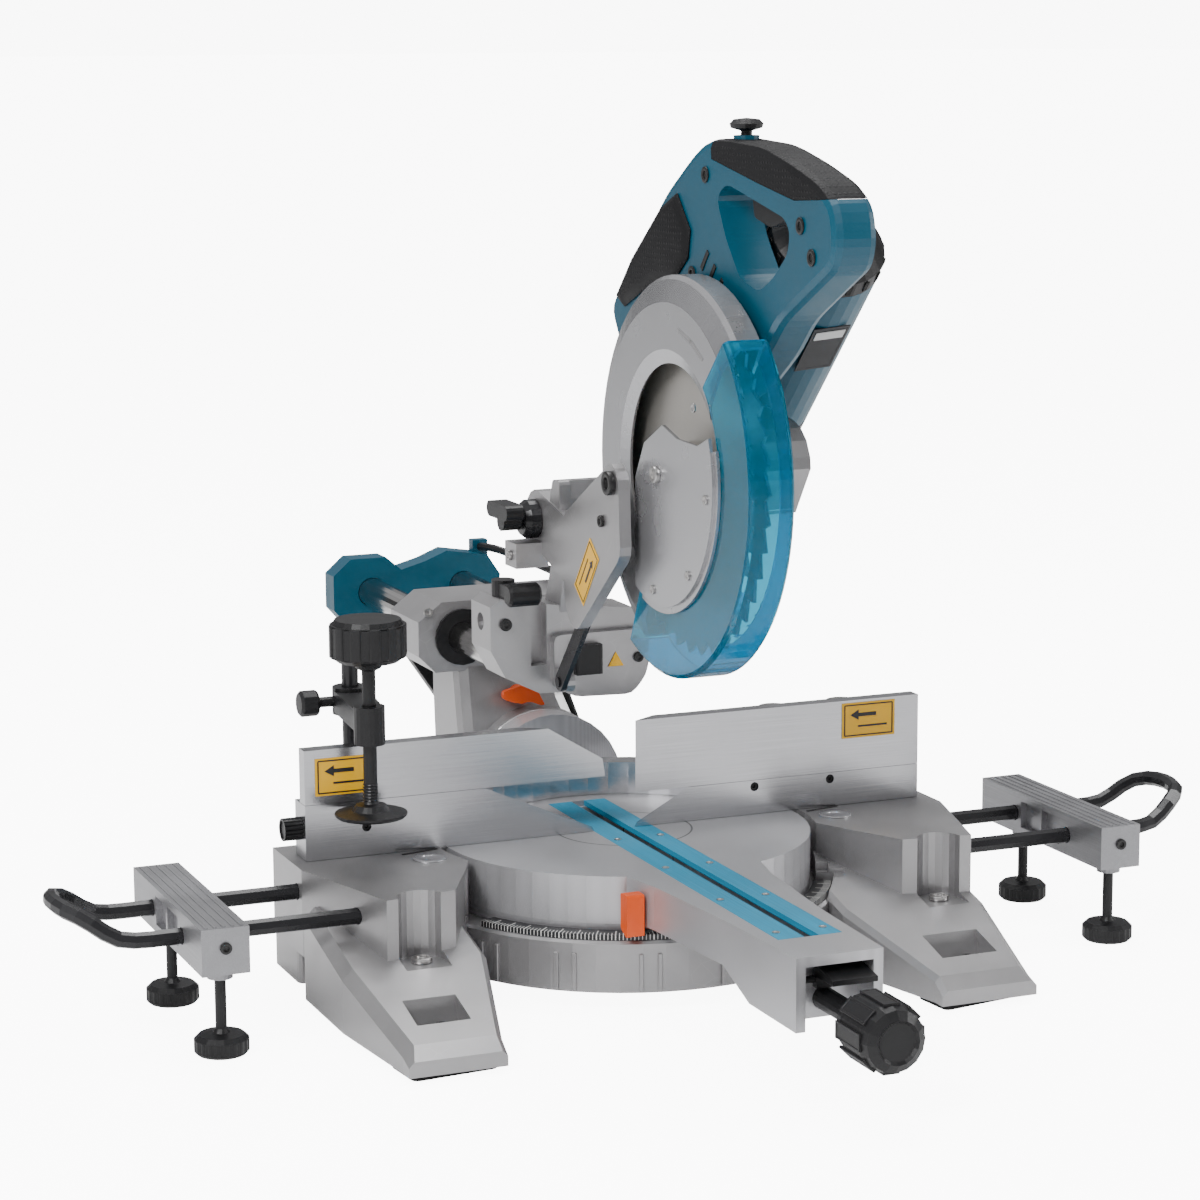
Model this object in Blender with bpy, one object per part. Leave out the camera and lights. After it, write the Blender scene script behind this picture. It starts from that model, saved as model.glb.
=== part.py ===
"""A sliding compound mitre saw, modelled as separate closed solids in one frame.

Sizes in this file are millimetres, and MM turns them into metres.  +Z is up and the saw's front is -Y.
The origin is the mitre pivot's axis at the height of the bench.  The blade stands in the plane x = 0.
"""
import math

import bpy
import bmesh
from mathutils import Matrix, Vector

MM = 0.001
FIT = 0.3                       # gap kept between touching pieces

# Table and base
TABLE_Z = 95.0                  # top of the turntable, the wings and the kerf boards
TABLE_R = 142.0
SCALE_R = 158.0
RIM_R, RIM_Z, SKIRT_Z = 161.0, 52.0, 14.0
PAD_T = 4.0                     # thickness of the rubber foot pads
WING_X, WING_REAR = 262.0, 52.0
FENCE_X, FENCE_T = 252.0, 25.0
FENCE_TOP, SUB_TOP = 137.0, 178.0
ARM_FRONT_Y = -366.0
BOARD_HALF, BOARD_T = 24.0, 4.0
BOARD_FRONT_Y, BOARD_REAR_Y = -322.0, 96.0
REACH = 450.0                   # front of the grip and rear of the pole holder
ROD_END_X = 456.0

# Workpiece holders
HOLDER_X, HOLDER_HALF = 353.0, 17.0
HOLDER_Y = (-140.0, 45.0)
HOLDER_Z = (60.0, 93.0)
HOLDER_FEET_Y = (-123.0, 7.0)
ROD_Y = (-88.0, -8.0)
ROD_Z, ROD_D = 76.0, 12.0

# Vise
VISE_ROD = (-202.0, 43.0)
VISE_SCREW = (-211.0, -29.0)

# Bevel arm, poles and carriage
BEVEL_FACE_Y = 168.0            # where the bevel arm meets the turntable
POLE_X, POLE_Z, POLE_D = (-57.0, 27.0), 214.0, 25.0
POLE_MID_X = -15.0
HOUSING_Y = (198.0, 266.0)
LATCH = (-14.0, 189.5, 166.0)
CARRIAGE_Y = (62.0, 112.0)

# Head
HINGE = (62.0, 328.0)           # y and z of the head's hinge
ARBOR = (-127.0, 384.0)         # y and z of the blade's axis
BLADE_R, CASE_R, GUARD_R = 130.0, 140.0, 145.5
CASE_X = (-18.0, 8.0)
GUARD_X = (-22.0, 11.5)
OPEN_DIR = (-0.819, -0.574)     # from the arbor to the middle of the blade opening, in y and z
OPEN_OFFSET = 27.0
GUARD_SPAN = (-115.0, 45.0)     # degrees, from straight forward, up positive
HANDLE_X = (14.0, 46.0)
BUTTON_Y = -154.0
CHEEK = (HINGE, (-30.0, 400.0), 22.0, 26.0)     # the head arm's right cheek: two centres and two radii
CHEEK_X = 30.0
MOTOR_X, MOTOR_R = 95.0, 42.0
MOTOR_AXIS = ((-30.0, 426.0), (-143.0, 538.0))
CAP_LENGTH = 24.0
LINK_PIVOT = (45.0, 203.0)
LINK_PIN = (-78.0, 341.0)


# ---------------------------------------------------------------- modelling helpers

def clear_scene():
    for item in list(bpy.data.objects):
        bpy.data.objects.remove(item, do_unlink=True)


def to_object(bm):
    """Close a bmesh into an object, with its faces pointing out."""
    bmesh.ops.remove_doubles(bm, verts=bm.verts, dist=0.00001)
    bmesh.ops.recalc_face_normals(bm, faces=bm.faces)
    mesh = bpy.data.meshes.new("piece")
    bm.to_mesh(mesh)
    bm.free()
    obj = bpy.data.objects.new("piece", mesh)
    bpy.context.scene.collection.objects.link(obj)
    return obj


def spot(axis, a, b, t):
    """A point from its two places on a plane and its place t along the plane's axis."""
    return {"x": Vector((t, a, b)), "y": Vector((a, t, b)), "z": Vector((a, b, t))}[axis] * MM


def loft(axis, sections):
    """A solid through outlines of equal point counts: sections is a list of (t, outline)."""
    bm = bmesh.new()
    rings = [[bm.verts.new(spot(axis, a, b, t)) for a, b in outline] for t, outline in sections]
    for low, high in zip(rings, rings[1:]):
        for i in range(len(low)):
            j = (i + 1) % len(low)
            bm.faces.new((low[i], low[j], high[j], high[i]))
    bm.faces.new(rings[0])
    bm.faces.new(rings[-1])
    return to_object(bm)


def prism(axis, outline, low, high):
    return loft(axis, [(low, outline), (high, outline)])


def block(low, high):
    return prism("z", rectangle(low[0], high[0], low[1], high[1]), low[2], high[2])


def rectangle(a0, a1, b0, b1):
    return [(a0, b0), (a1, b0), (a1, b1), (a0, b1)]


def arc(a, b, radius, start, stop, steps):
    """Points on an arc, with its angles in degrees."""
    angles = [math.radians(start + (stop - start) * i / steps) for i in range(steps + 1)]
    return [(a + radius * math.cos(t), b + radius * math.sin(t)) for t in angles]


def capsule(p, q, rp, rq, steps=8):
    """The outline of two circles and their common tangents."""
    heading = math.degrees(math.atan2(q[1] - p[1], q[0] - p[0]))
    lean = math.degrees(math.asin((rp - rq) / math.dist(p, q)))
    side = 90.0 - lean
    return (arc(q[0], q[1], rq, heading - side, heading + side, steps)
            + arc(p[0], p[1], rp, heading + side, heading + 360.0 - side, steps))


def rounded(outline, radius, steps=3):
    """Replace each corner of an outline by a small curve that starts and ends radius from it."""
    points = []
    for i, corner in enumerate(outline):
        corner = Vector(corner)
        before, after = Vector(outline[i - 1]) - corner, Vector(outline[(i + 1) % len(outline)]) - corner
        reach = min(radius, before.length * 0.45, after.length * 0.45)
        start, stop = corner + before.normalized() * reach, corner + after.normalized() * reach
        for k in range(steps + 1):
            t = k / steps
            points.append(tuple(start * (1 - t) ** 2 + corner * 2 * t * (1 - t) + stop * t ** 2))
    return points


def turned(profile, base, direction, segments=24):
    """Spin a profile of (radius, height) about an axis; it closes at the axis or on itself."""
    bm = bmesh.new()
    aim = Vector((0, 0, 1)).rotation_difference(Vector(direction).normalized())
    rings = []
    for radius, height in profile:
        count = 1 if radius == 0 else segments
        ring = []
        for k in range(count):
            turn = 2 * math.pi * k / segments
            local = Vector((radius * math.cos(turn), radius * math.sin(turn), height))
            ring.append(bm.verts.new((Vector(base) + aim @ local) * MM))
        rings.append(ring)
    pairs = list(zip(rings, rings[1:]))
    if len(rings[0]) > 1:
        pairs.append((rings[-1], rings[0]))
    for low, high in pairs:
        for k in range(segments):
            corners = [low[k % len(low)], low[(k + 1) % len(low)],
                       high[(k + 1) % len(high)], high[k % len(high)]]
            corners = list(dict.fromkeys(corners))
            if len(corners) > 2:
                bm.faces.new(corners)
    return to_object(bm)


def cylinder(start, end, radius, segments=20):
    length = math.dist(start, end)
    direction = Vector(end) - Vector(start)
    return turned([(0, 0), (radius, 0), (radius, length), (0, length)], start, direction, segments)


def sector(profile, span, steps):
    """Sweep a profile of (x, radius) about the blade's axis between two angles, with closed ends."""
    bm = bmesh.new()
    rings = []
    for i in range(steps + 1):
        turn = math.radians(span[0] + (span[1] - span[0]) * i / steps)
        ring = []
        for x, r in profile:
            y, z = ARBOR[0] - r * math.cos(turn), ARBOR[1] + r * math.sin(turn)
            ring.append(bm.verts.new(Vector((x, y, z)) * MM))
        rings.append(ring)
    for low, high in zip(rings, rings[1:]):
        for k in range(len(profile)):
            j = (k + 1) % len(profile)
            bm.faces.new((low[k], low[j], high[j], high[k]))
    bm.faces.new(rings[0])
    bm.faces.new(rings[-1])
    return to_object(bm)


def bake(target):
    """Apply an object's modifiers."""
    mesh = bpy.data.meshes.new_from_object(target.evaluated_get(bpy.context.evaluated_depsgraph_get()))
    target.modifiers.clear()
    target.data = mesh
    return target


def combine(target, others, operation):
    """Apply a Boolean with each other object in turn, and remove those objects."""
    for other in others:
        step = target.modifiers.new(operation.lower(), "BOOLEAN")
        step.operation = operation
        step.solver = "EXACT"
        step.object = other
    bake(target)
    for other in others:
        bpy.data.objects.remove(other, do_unlink=True)
    return target


def weld(target, *others):
    return combine(target, others, "UNION")


def carve(target, *others):
    return combine(target, others, "DIFFERENCE")


def smooth_route(points, spacing):
    """Points at an even spacing along a Catmull-Rom curve through the given points."""
    ends = [2 * Vector(points[0]) - Vector(points[1])], [2 * Vector(points[-1]) - Vector(points[-2])]
    route = ends[0] + [Vector(p) for p in points] + ends[1]
    fine = []
    for a, b, c, d in zip(route, route[1:], route[2:], route[3:]):
        for k in range(24):
            t = k / 24
            fine.append(0.5 * (2 * b + (c - a) * t + (2 * a - 5 * b + 4 * c - d) * t * t
                               + (3 * b - a - 3 * c + d) * t ** 3))
    fine.append(Vector(points[-1]))
    lengths = [0.0]
    for a, b in zip(fine, fine[1:]):
        lengths.append(lengths[-1] + (b - a).length)
    count = max(2, round(lengths[-1] / spacing))
    even, place = [], 0
    for k in range(count + 1):
        want = lengths[-1] * k / count
        while place < len(fine) - 2 and lengths[place + 1] < want:
            place += 1
        share = (want - lengths[place]) / (lengths[place + 1] - lengths[place])
        even.append(fine[place].lerp(fine[place + 1], share))
    return even


def tube(points, diameter, resolution=2):
    """A curve object with a round bevel and filled caps."""
    curve = bpy.data.curves.new("tube", "CURVE")
    curve.dimensions = "3D"
    curve.bevel_depth = diameter / 2 * MM
    curve.bevel_resolution = resolution
    curve.use_fill_caps = True
    spline = curve.splines.new("POLY")
    spline.points.add(len(points) - 1)
    for target, point in zip(spline.points, points):
        target.co = (*(Vector(point) * MM), 1.0)
    obj = bpy.data.objects.new("tube", curve)
    bpy.context.scene.collection.objects.link(obj)
    return obj


BODIES = {}                     # name: (empty, its place in metres)


def body(name, pivot, parent=None):
    """An empty on a moving body's joint axis, which carries the body's pieces."""
    empty = bpy.data.objects.new(name + "_axis", None)
    bpy.context.scene.collection.objects.link(empty)
    empty.empty_display_size = 0.03
    place = Vector(pivot) * MM
    empty.location = place
    if parent:
        carrier, carrier_place = BODIES[parent]
        empty.parent = carrier
        empty.location = place - carrier_place
    BODIES[name] = (empty, place)


FINISHES = {
    "casting": ((0.45, 0.44, 0.45), 0.38, 0.75),
    "machined": ((0.72, 0.70, 0.72), 0.30, 0.90),
    "steel": ((0.62, 0.61, 0.60), 0.22, 1.00),
    "teal": ((0.0, 0.17, 0.28), 0.38, 0.0),
    "cyan": ((0.04, 0.43, 0.64), 0.42, 0.0),
    "guard": ((0.0, 0.21, 0.38), 0.12, 0.0),
    "orange": ((0.87, 0.10, 0.01), 0.40, 0.0),
    "black": ((0.012, 0.012, 0.013), 0.42, 0.0),
    "black_steel": ((0.02, 0.02, 0.021), 0.34, 0.4),
    "soft": ((0.035, 0.033, 0.033), 0.70, 0.0),
    "rubber": ((0.01, 0.01, 0.01), 0.80, 0.0),
}


def node(obj, name, finish, parent=None):
    """Name a finished piece, give it its own material and hang it on its body."""
    obj.name = name
    obj.data.name = name
    colour, roughness, metallic = FINISHES[finish]
    material = bpy.data.materials.new(name + "_" + finish)
    material.use_nodes = True
    shader = material.node_tree.nodes["Principled BSDF"]
    shader.inputs["Base Color"].default_value = (*colour, 1.0)
    shader.inputs["Roughness"].default_value = roughness
    shader.inputs["Metallic"].default_value = metallic
    obj.data.materials.clear()
    obj.data.materials.append(material)
    if obj.type == "MESH":
        obj.data.shade_smooth()
        obj.data.set_sharp_from_angle(angle=math.radians(32))
    if parent:
        empty, place = BODIES[parent]
        obj.parent = empty
        obj.matrix_parent_inverse = Matrix.Translation(-place)
    return obj


# ---------------------------------------------------------------- base

def mirrored(outline, side):
    """An outline drawn for the right, or its mirror image for the left."""
    return [(side * x, y) for x, y in outline]


WING = (arc(0, 0, 148.0, -17, 20, 6)
        + [(152, WING_REAR), (WING_X, WING_REAR), (WING_X, -20), (232, -124), (178, -116), (153, -68)])
WING_HOLLOW = [(167, -60), (167, 44), (255, 44), (255, -20), (233, -97), (170, -97)]


def leg(side, foot, tower):
    """A leg from under a wing to its front foot; foot and tower are inner and outer x."""
    def section(across, top, bevel=8.0):
        inner, outer = across
        return [(inner, PAD_T), (outer, PAD_T), (outer, top - bevel), (outer - side * bevel, top),
                (inner + side * 4, top), (inner, top - 4)]
    piece = loft("y", [(-240, section(foot, 15, 4)), (-228, section(foot, 23)),
                       (-128, section(tower, 50)), (-40, section(tower, 72))])
    low, high = min(foot) + 18, max(foot) - 14
    pocket = loft("z", [(19, rectangle(low, high, -205, -178)), (60, rectangle(low, high, -209, -170))])
    return carve(piece, pocket)


def ring_sector(inner, outer, start, stop, heights):
    """A sector of a ring about the mitre axis, between two angles in degrees."""
    outline = arc(0, 0, outer, start, stop, 36) + arc(0, 0, inner, stop, start, 36)
    return prism("z", outline, *heights)


def tower_recess(side):
    """The half-round well in a wing's front, over a bolt hole."""
    x = side * 206
    return weld(cylinder((x, -122, 47), (x, -122, 99), 17, 20), block((x - 17, -150, 47), (x + 17, -122, 99)))


def base_casting():
    """The bowl under the turntable, its two wings, two front legs and two rear feet."""
    bowl = turned([(30.3, 44), (30.3, RIM_Z), (RIM_R - 2, RIM_Z), (RIM_R, RIM_Z - 2), (RIM_R, SKIRT_Z),
                   (RIM_R - 5, SKIRT_Z), (RIM_R - 5, 44)], (0, 0, 0), (0, 0, 1), 60)
    parts = [leg(-1, (-186, -257), (-160, -267)), leg(1, (146, 223), (122, 240))]
    cuts = [cylinder((0, 0, RIM_Z), (0, 0, 120), 146.5, 60),
            ring_sector(140, SCALE_R + 2, -155, -25, (RIM_Z, 110)),
            ring_sector(144, 171.5, -160, -150, (56.5, 89.5)),      # the pointer's room at full mitre
            ring_sector(140, 168, -70, -25, (61.5, 80)),            # the arm's room over the right leg
            ring_sector(140, 156, -40, -22, (61.5, 80))]
    for side in (-1, 1):
        x = side * 232
        parts.append(prism("z", mirrored(WING, side), 30, TABLE_Z))
        parts.append(prism("z", rounded(rectangle(x - 24, x + 24, 10, 74), 6), 0, 40))
        cuts.append(tower_recess(side))
        cuts.append(prism("z", mirrored(WING_HOLLOW, side), 25, TABLE_Z - 7))
        for y in ROD_Y:
            cuts.append(cylinder((side * 180, y, ROD_Z), (side * 300, y, ROD_Z), ROD_D / 2 + FIT, 16))
    return carve(weld(bowl, *parts), *cuts)


def guide_fence():
    """Both sides of the fence and the bow behind the blade that joins them, in one casting."""
    z0 = TABLE_Z + FIT
    left = loft("y", [(0, [(-FENCE_X, z0), (-24, z0), (-26, 99), (-112, FENCE_TOP), (-FENCE_X, FENCE_TOP)]),
                      (FENCE_T, [(-FENCE_X, z0), (-60, z0), (-62, 99), (-140, FENCE_TOP),
                                 (-FENCE_X, FENCE_TOP)])])
    right = loft("y", [(0, [(9, z0), (FENCE_X, z0), (FENCE_X, 122), (54, 122), (11, 99)]),
                       (FENCE_T, [(47, z0), (FENCE_X, z0), (FENCE_X, 122), (80, 122), (49, 99)])])
    bow = prism("z", arc(0, 0, 131, 7, 173, 20) + arc(0, 0, 112, 173, 7, 20), z0, 121)
    feet = [block((side * 151 - 16, 10, z0), (side * 151 + 16, 40, 112)) for side in (-1, 1)]
    fence = weld(left, right, bow, *feet)
    holes = [cylinder((x, -5, 117), (x, 40, 117), 3.6, 12) for x in (-205, 110, 175)]
    return carve(fence, *holes)


def sub_fence(side):
    """The tall sliding part of the fence; it stands on the casting and overlaps it at the back."""
    t0, t1 = 0.0, 13.0
    if side < 0:
        z0 = FENCE_TOP + FIT
        front = [(-FENCE_X, z0), (-15, z0), (-17, 151), (-61, SUB_TOP), (-FENCE_X, SUB_TOP)]
        back = [(-FENCE_X, z0), (-35, z0), (-37, 151), (-81, SUB_TOP), (-FENCE_X, SUB_TOP)]
    else:
        z0 = 122 + FIT
        front = [(10, z0), (FENCE_X, z0), (FENCE_X, SUB_TOP), (10, SUB_TOP), (10, 150)]
        back = [(30, z0), (FENCE_X, z0), (FENCE_X, SUB_TOP), (30, SUB_TOP), (30, 150)]
    plate = loft("y", [(t0, front), (t1, back)])
    x0, x1, rear = (-200, -110, FENCE_T) if side < 0 else (118, 222, 38)
    foot = block((x0, t1 - 2, z0), (x1, rear, z0 + 14))
    return weld(plate, foot)


def fence_knob(x):
    base = (x, 29, 122 + 14 + 2 * FIT)
    return turned([(0, 0), (6, 0), (6, 14), (13, 15), (14, 17), (14, 33), (12, 36), (0, 36)], base, (0, 0, 1), 20)


def mitre_scale():
    """The black ring of marks round the front of the rim."""
    outline = arc(0, 0, SCALE_R, -154, -26, 36) + arc(0, 0, 144, -26, -154, 36)
    return prism("z", outline, RIM_Z + FIT, RIM_Z + 4.2)


def foot_pad(outline):
    return prism("z", outline, 0, PAD_T - FIT)


def build_base():
    node(base_casting(), "base_casting", "casting")
    node(guide_fence(), "guide_fence", "machined")
    node(mitre_scale(), "mitre_scale", "black")
    pads = {"left": [(-252, -236), (-190, -231), (-184, -196), (-256, -198)],
            "right": [(150, -238), (219, -227), (224, -192), (146, -202)]}
    for side, outline in pads.items():
        node(foot_pad(rounded(outline, 5)), "foot_pad_front_" + side, "rubber")
    rod = cylinder((*VISE_ROD, TABLE_Z + FIT), (*VISE_ROD, 232), 6.2, 16)
    node(rod, "vise_rod", "black_steel")
    body("left_sub_fence", (-130, 6, 150))
    body("right_sub_fence", (130, 6, 150))
    node(sub_fence(-1), "left_sub_fence", "machined", "left_sub_fence")
    node(sub_fence(1), "right_sub_fence", "machined", "right_sub_fence")
    for number, x in enumerate((140, 199), 1):
        name = f"fence_knob_{number}"
        body(name, (x, 29, 150), "right_sub_fence")
        node(fence_knob(x), name, "casting", name)


# ---------------------------------------------------------------- workpiece holders

def holder_rods(side):
    """Two rods and the bent handle that joins them, in one piece."""
    y0, y1 = ROD_Y
    inner, bend, end = 185, 398, ROD_END_X - ROD_D / 2
    path = [(inner, y0, ROD_Z), (300, y0, ROD_Z), (bend - 12, y0, ROD_Z), (bend, y0, ROD_Z), (bend + 18, y0 + 2, ROD_Z + 3),
            (end - 14, y0 + 8, ROD_Z + 17), (end - 3, y0 + 20, ROD_Z + 22), (end, y0 + 36, ROD_Z + 23),
            (end, y1 - 36, ROD_Z + 23), (end - 3, y1 - 20, ROD_Z + 22), (end - 14, y1 - 8, ROD_Z + 17),
            (bend + 18, y1 - 2, ROD_Z + 3), (bend, y1, ROD_Z), (bend - 12, y1, ROD_Z), (300, y1, ROD_Z),
            (inner, y1, ROD_Z)]
    return tube(smooth_route([(side * x, y, z) for x, y, z in path], 11), ROD_D)


def holder_block(side):
    low, high = HOLDER_X - HOLDER_HALF, HOLDER_X + HOLDER_HALF
    bar = prism("y", mirrored(rectangle(low, high, *HOLDER_Z), side), *HOLDER_Y)
    bosses = [cylinder((side * HOLDER_X, y, 54), (side * HOLDER_X, y, 70), 9, 16) for y in HOLDER_FEET_Y]
    bar = weld(bar, *bosses)
    cuts = []
    for y in ROD_Y:
        cuts.append(cylinder((side * (low - 9), y, ROD_Z), (side * (high + 9), y, ROD_Z), ROD_D / 2 + FIT, 16))
    for y in HOLDER_FEET_Y:
        cuts.append(cylinder((side * HOLDER_X, y, 40), (side * HOLDER_X, y, 83.0), 4 + FIT, 12))
    for y0, y1 in ((-78, -50), (-46, -18)):
        for x in (low, high):
            cuts.append(block((side * x - 5, y0, 66), (side * x + 5, y1, 87)))
    return carve(bar, *cuts)


def holder_foot(side, y):
    """A threaded foot with its cup."""
    profile = [(0, 0), (17, 0), (19, 2), (19, 11), (16, 14), (6, 15), (4, 18), (4, 66), (0, 66)]
    return turned(profile, (side * HOLDER_X, y, 0), (0, 0, 1), 18)


def build_holders():
    for name, side in (("left", -1), ("right", 1)):
        holder = name + "_holder"
        body(holder, (side * HOLDER_X, sum(ROD_Y) / 2, ROD_Z))
        node(holder_rods(side), holder + "_rods", "black_steel", holder)
        node(holder_block(side), holder + "_block", "machined", holder)
        for place, y in zip(("front", "rear"), HOLDER_FEET_Y):
            foot = f"{name}_{place}_foot"
            body(foot, (side * HOLDER_X, y, 20), holder)
            node(holder_foot(side, y), foot, "black", foot)


# ---------------------------------------------------------------- vise

def vise_arm():
    (rx, ry), (sx, sy) = VISE_ROD, VISE_SCREW
    bar = prism("z", capsule(VISE_ROD, VISE_SCREW, 13, 11), 196, 212)
    hub = cylinder((sx, sy, 186), (sx, sy, 214), 11.4, 20)
    rod_hub = cylinder((rx, ry, 194), (rx, ry, 214.5), 13.4, 20)
    screw = turned([(0, 0), (4, 0), (4, 14), (9, 15), (10, 17), (10, 27), (8, 29), (0, 29)],
                   (rx - 11, ry, 204), (-1, 0, 0), 14)
    arm = weld(bar, hub, rod_hub, screw)
    bores = [cylinder((rx, ry, 180), (rx, ry, 240), 6.2 + FIT, 16), cylinder((sx, sy, 180), (sx, sy, 240), 5 + FIT, 16)]
    return carve(arm, *bores)


def vise_spindle():
    profile = [(0, 0), (25, 0), (26.5, 1.5), (26.5, 3), (14, 5), (11, 9), (6, 10), (5, 12), (5, 108),
               (9, 110), (11, 113), (22, 115), (27, 119), (27, 141), (24, 146), (0, 146)]
    return turned(profile, (*VISE_SCREW, 132), (0, 0, 1), 24)


def build_vise():
    body("vise_arm", (*VISE_ROD, 204))
    body("vise_spindle", (*VISE_SCREW, 200), "vise_arm")
    node(vise_arm(), "vise_arm", "black", "vise_arm")
    node(vise_spindle(), "vise_spindle", "black", "vise_spindle")


# ---------------------------------------------------------------- turntable

def turntable():
    disc = turned([(0, 52.3), (141, 52.3), (TABLE_R, 60), (TABLE_R, TABLE_Z), (0, TABLE_Z)],
                  (0, 0, 0), (0, 0, 1), 64)
    spigot = cylinder((0, 0, 30), (0, 0, 60), 30, 24)
    arm = loft("y", [(ARM_FRONT_Y, [(-32, 44), (32, 44), (32, TABLE_Z), (-32, TABLE_Z)]),
                     (-300, [(-35, 46), (35, 46), (35, TABLE_Z), (-35, TABLE_Z)]),
                     (-262, [(-37, 63), (37, 63), (37, TABLE_Z), (-37, TABLE_Z)]),
                     (-165, [(-46, 63), (46, 63), (46, TABLE_Z), (-46, TABLE_Z)]),
                     (-100, [(-60, 63), (60, 63), (60, TABLE_Z), (-60, TABLE_Z)])])
    rear = block((-58, 118, 56), (58, BEVEL_FACE_Y - 12, TABLE_Z - 2))
    bracket = cylinder((0, BEVEL_FACE_Y - 22, TABLE_Z), (0, BEVEL_FACE_Y - FIT, TABLE_Z), 60, 32)
    table = weld(disc, spigot, arm, rear, bracket)
    under = block((-70, TABLE_R + 0.5, 20), (70, BEVEL_FACE_Y + 10, 54))
    boards = block((-BOARD_HALF, BOARD_FRONT_Y, TABLE_Z - BOARD_T - FIT), (BOARD_HALF, BOARD_REAR_Y, 120))
    kerf = block((-7, -320, 69), (20, 92, 100))
    recess = block((-25, ARM_FRONT_Y - 10, 30), (25, ARM_FRONT_Y + 24, 88))
    shaft = cylinder((0, -350, 58), (0, -330, 58), 8 + FIT, 16)
    return carve(table, under, boards, kerf, recess, shaft)


def kerf_board(side):
    x0, x1 = (-BOARD_HALF + FIT, -4.5) if side < 0 else (6.5, BOARD_HALF - FIT)
    return block((x0, BOARD_FRONT_Y + FIT, TABLE_Z - BOARD_T), (x1, BOARD_REAR_Y - FIT, TABLE_Z))


def mitre_pointer():
    """The flag that hangs over the scale from the left root of the arm."""
    return prism("x", rounded([(-158, 57.5), (-155, 57.5), (-146, 62), (-146, 88), (-158, 88)], 2), -64, -50.6)


def lock_lever():
    """A flat thumb lever above the grip, on a cross pin in the arm's recess."""
    plate = prism("x", [(-376, 76), (-376, 79.5), (-350, 84), (-346, 80), (-346, 68), (-352, 68), (-352, 76)],
                  -10, 23)
    pin = cylinder((-25 + FIT, -349, 74), (25 - FIT, -349, 74), 2.5, 12)
    return weld(plate, pin)


def mitre_grip():
    """The turning grip: a shaft into the arm and a body with eight flats."""
    shaft = cylinder((0, -331, 58), (0, -400, 58), 8, 16)
    profile = [(0, 0), (15, 0), (21, 6), (23, 14), (23, 42), (21, 50), (15, 54), (13, 52), (0, 52)]
    knob = turned(profile, (0, -REACH + 54, 58), (0, -1, 0), 16)
    return weld(shaft, knob)


def build_turntable():
    body("turntable", (0, 0, TABLE_Z))
    node(turntable(), "turntable", "machined", "turntable")
    node(kerf_board(-1), "kerf_board_left", "cyan", "turntable")
    node(kerf_board(1), "kerf_board_right", "cyan", "turntable")
    node(mitre_pointer(), "mitre_pointer", "orange", "turntable")
    body("lock_lever", (0, -349, 74), "turntable")
    node(lock_lever(), "lock_lever", "black", "lock_lever")
    body("mitre_grip", (0, -400, 58), "turntable")
    node(mitre_grip(), "mitre_grip", "black", "mitre_grip")


# ---------------------------------------------------------------- bevel arm

def slab(x0, x1, y0, y1):
    """A rounded rectangle, for a section of the neck's column."""
    return rounded(rectangle(x0, x1, y0, y1), 10, 2)


def bevel_arm():
    """The tilting neck: a round foot on the bevel pivot, a column and the housing for the poles."""
    y0, y1 = HOUSING_Y
    foot = turned([(0, 0), (58, 0), (60, 2), (60, 26), (52, 30), (0, 30)], (0, BEVEL_FACE_Y, TABLE_Z), (0, 1, 0), 40)
    column = loft("z", [(84, slab(-52, 46, 172, 250)), (120, slab(-64, 44, 178, 256)),
                        (160, slab(-63, 30, 190, 262)), (196, slab(-62, 28, 200, 266))])
    outline = [(-94, 200), (-80, 186), (50, 186), (64, 200), (64, 228), (46, 243), (-74, 243), (-94, 228)]
    housing = prism("y", outline, y0, y1)
    arm = weld(foot, column, housing)
    bores = [cylinder((x, y0 - 2, POLE_Z), (x, y1 + 2, POLE_Z), POLE_D / 2 + 0.5, 20) for x in POLE_X]
    seats = [cylinder((x, y0 - 2, POLE_Z), (x, y0 + 12, POLE_Z), 20 + FIT, 20) for x in POLE_X]
    bolt = cylinder((0, 160, TABLE_Z), (0, 300, TABLE_Z), 8 + FIT, 16)
    return carve(arm, *bores, *seats, bolt)


def pole_bush(x):
    inner, outer = POLE_D / 2 + 0.2, 20.0
    profile = [(inner, -3), (outer + 3, -3), (outer + 3, -FIT), (outer, -FIT), (outer, 11.5), (inner, 11.5)]
    return turned(profile, (x, HOUSING_Y[0], POLE_Z), (0, 1, 0), 20)


def bevel_lock_lever():
    """The clamp lever on the bevel pivot's bolt, behind the neck."""
    hub = cylinder((0, 262, TABLE_Z), (0, 290, TABLE_Z), 15, 20)
    bolt = cylinder((0, BEVEL_FACE_Y + 1, TABLE_Z), (0, 270, TABLE_Z), 8, 16)
    lever = prism("y", capsule((0, TABLE_Z), (-72, 196), 12, 9), 277, 289)
    return weld(hub, bolt, lever)


def bevel_latch_lever():
    """The orange latch on the neck's front."""
    x, y, z = LATCH
    hub = cylinder((x, y - 13, z), (x, y, z), 7, 16)
    outline = [(-30, 170), (-14, 174), (0, 168), (6, 156.5), (2, 156.5), (-6, 160), (-20, 160), (-30, 164)]
    flag = prism("y", rounded(outline, 2, 2), y - 13, y - 8)
    return weld(hub, flag)


def neck_lead():
    points = [(42, 232, 184.9), (42.5, 233, 172), (49, 238, 150), (56, 237, 130), (59, 232, 114), (56, 227, 103),
              (48.5, 225, 98)]
    return tube(smooth_route(points, 8), 7.0)


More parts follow.
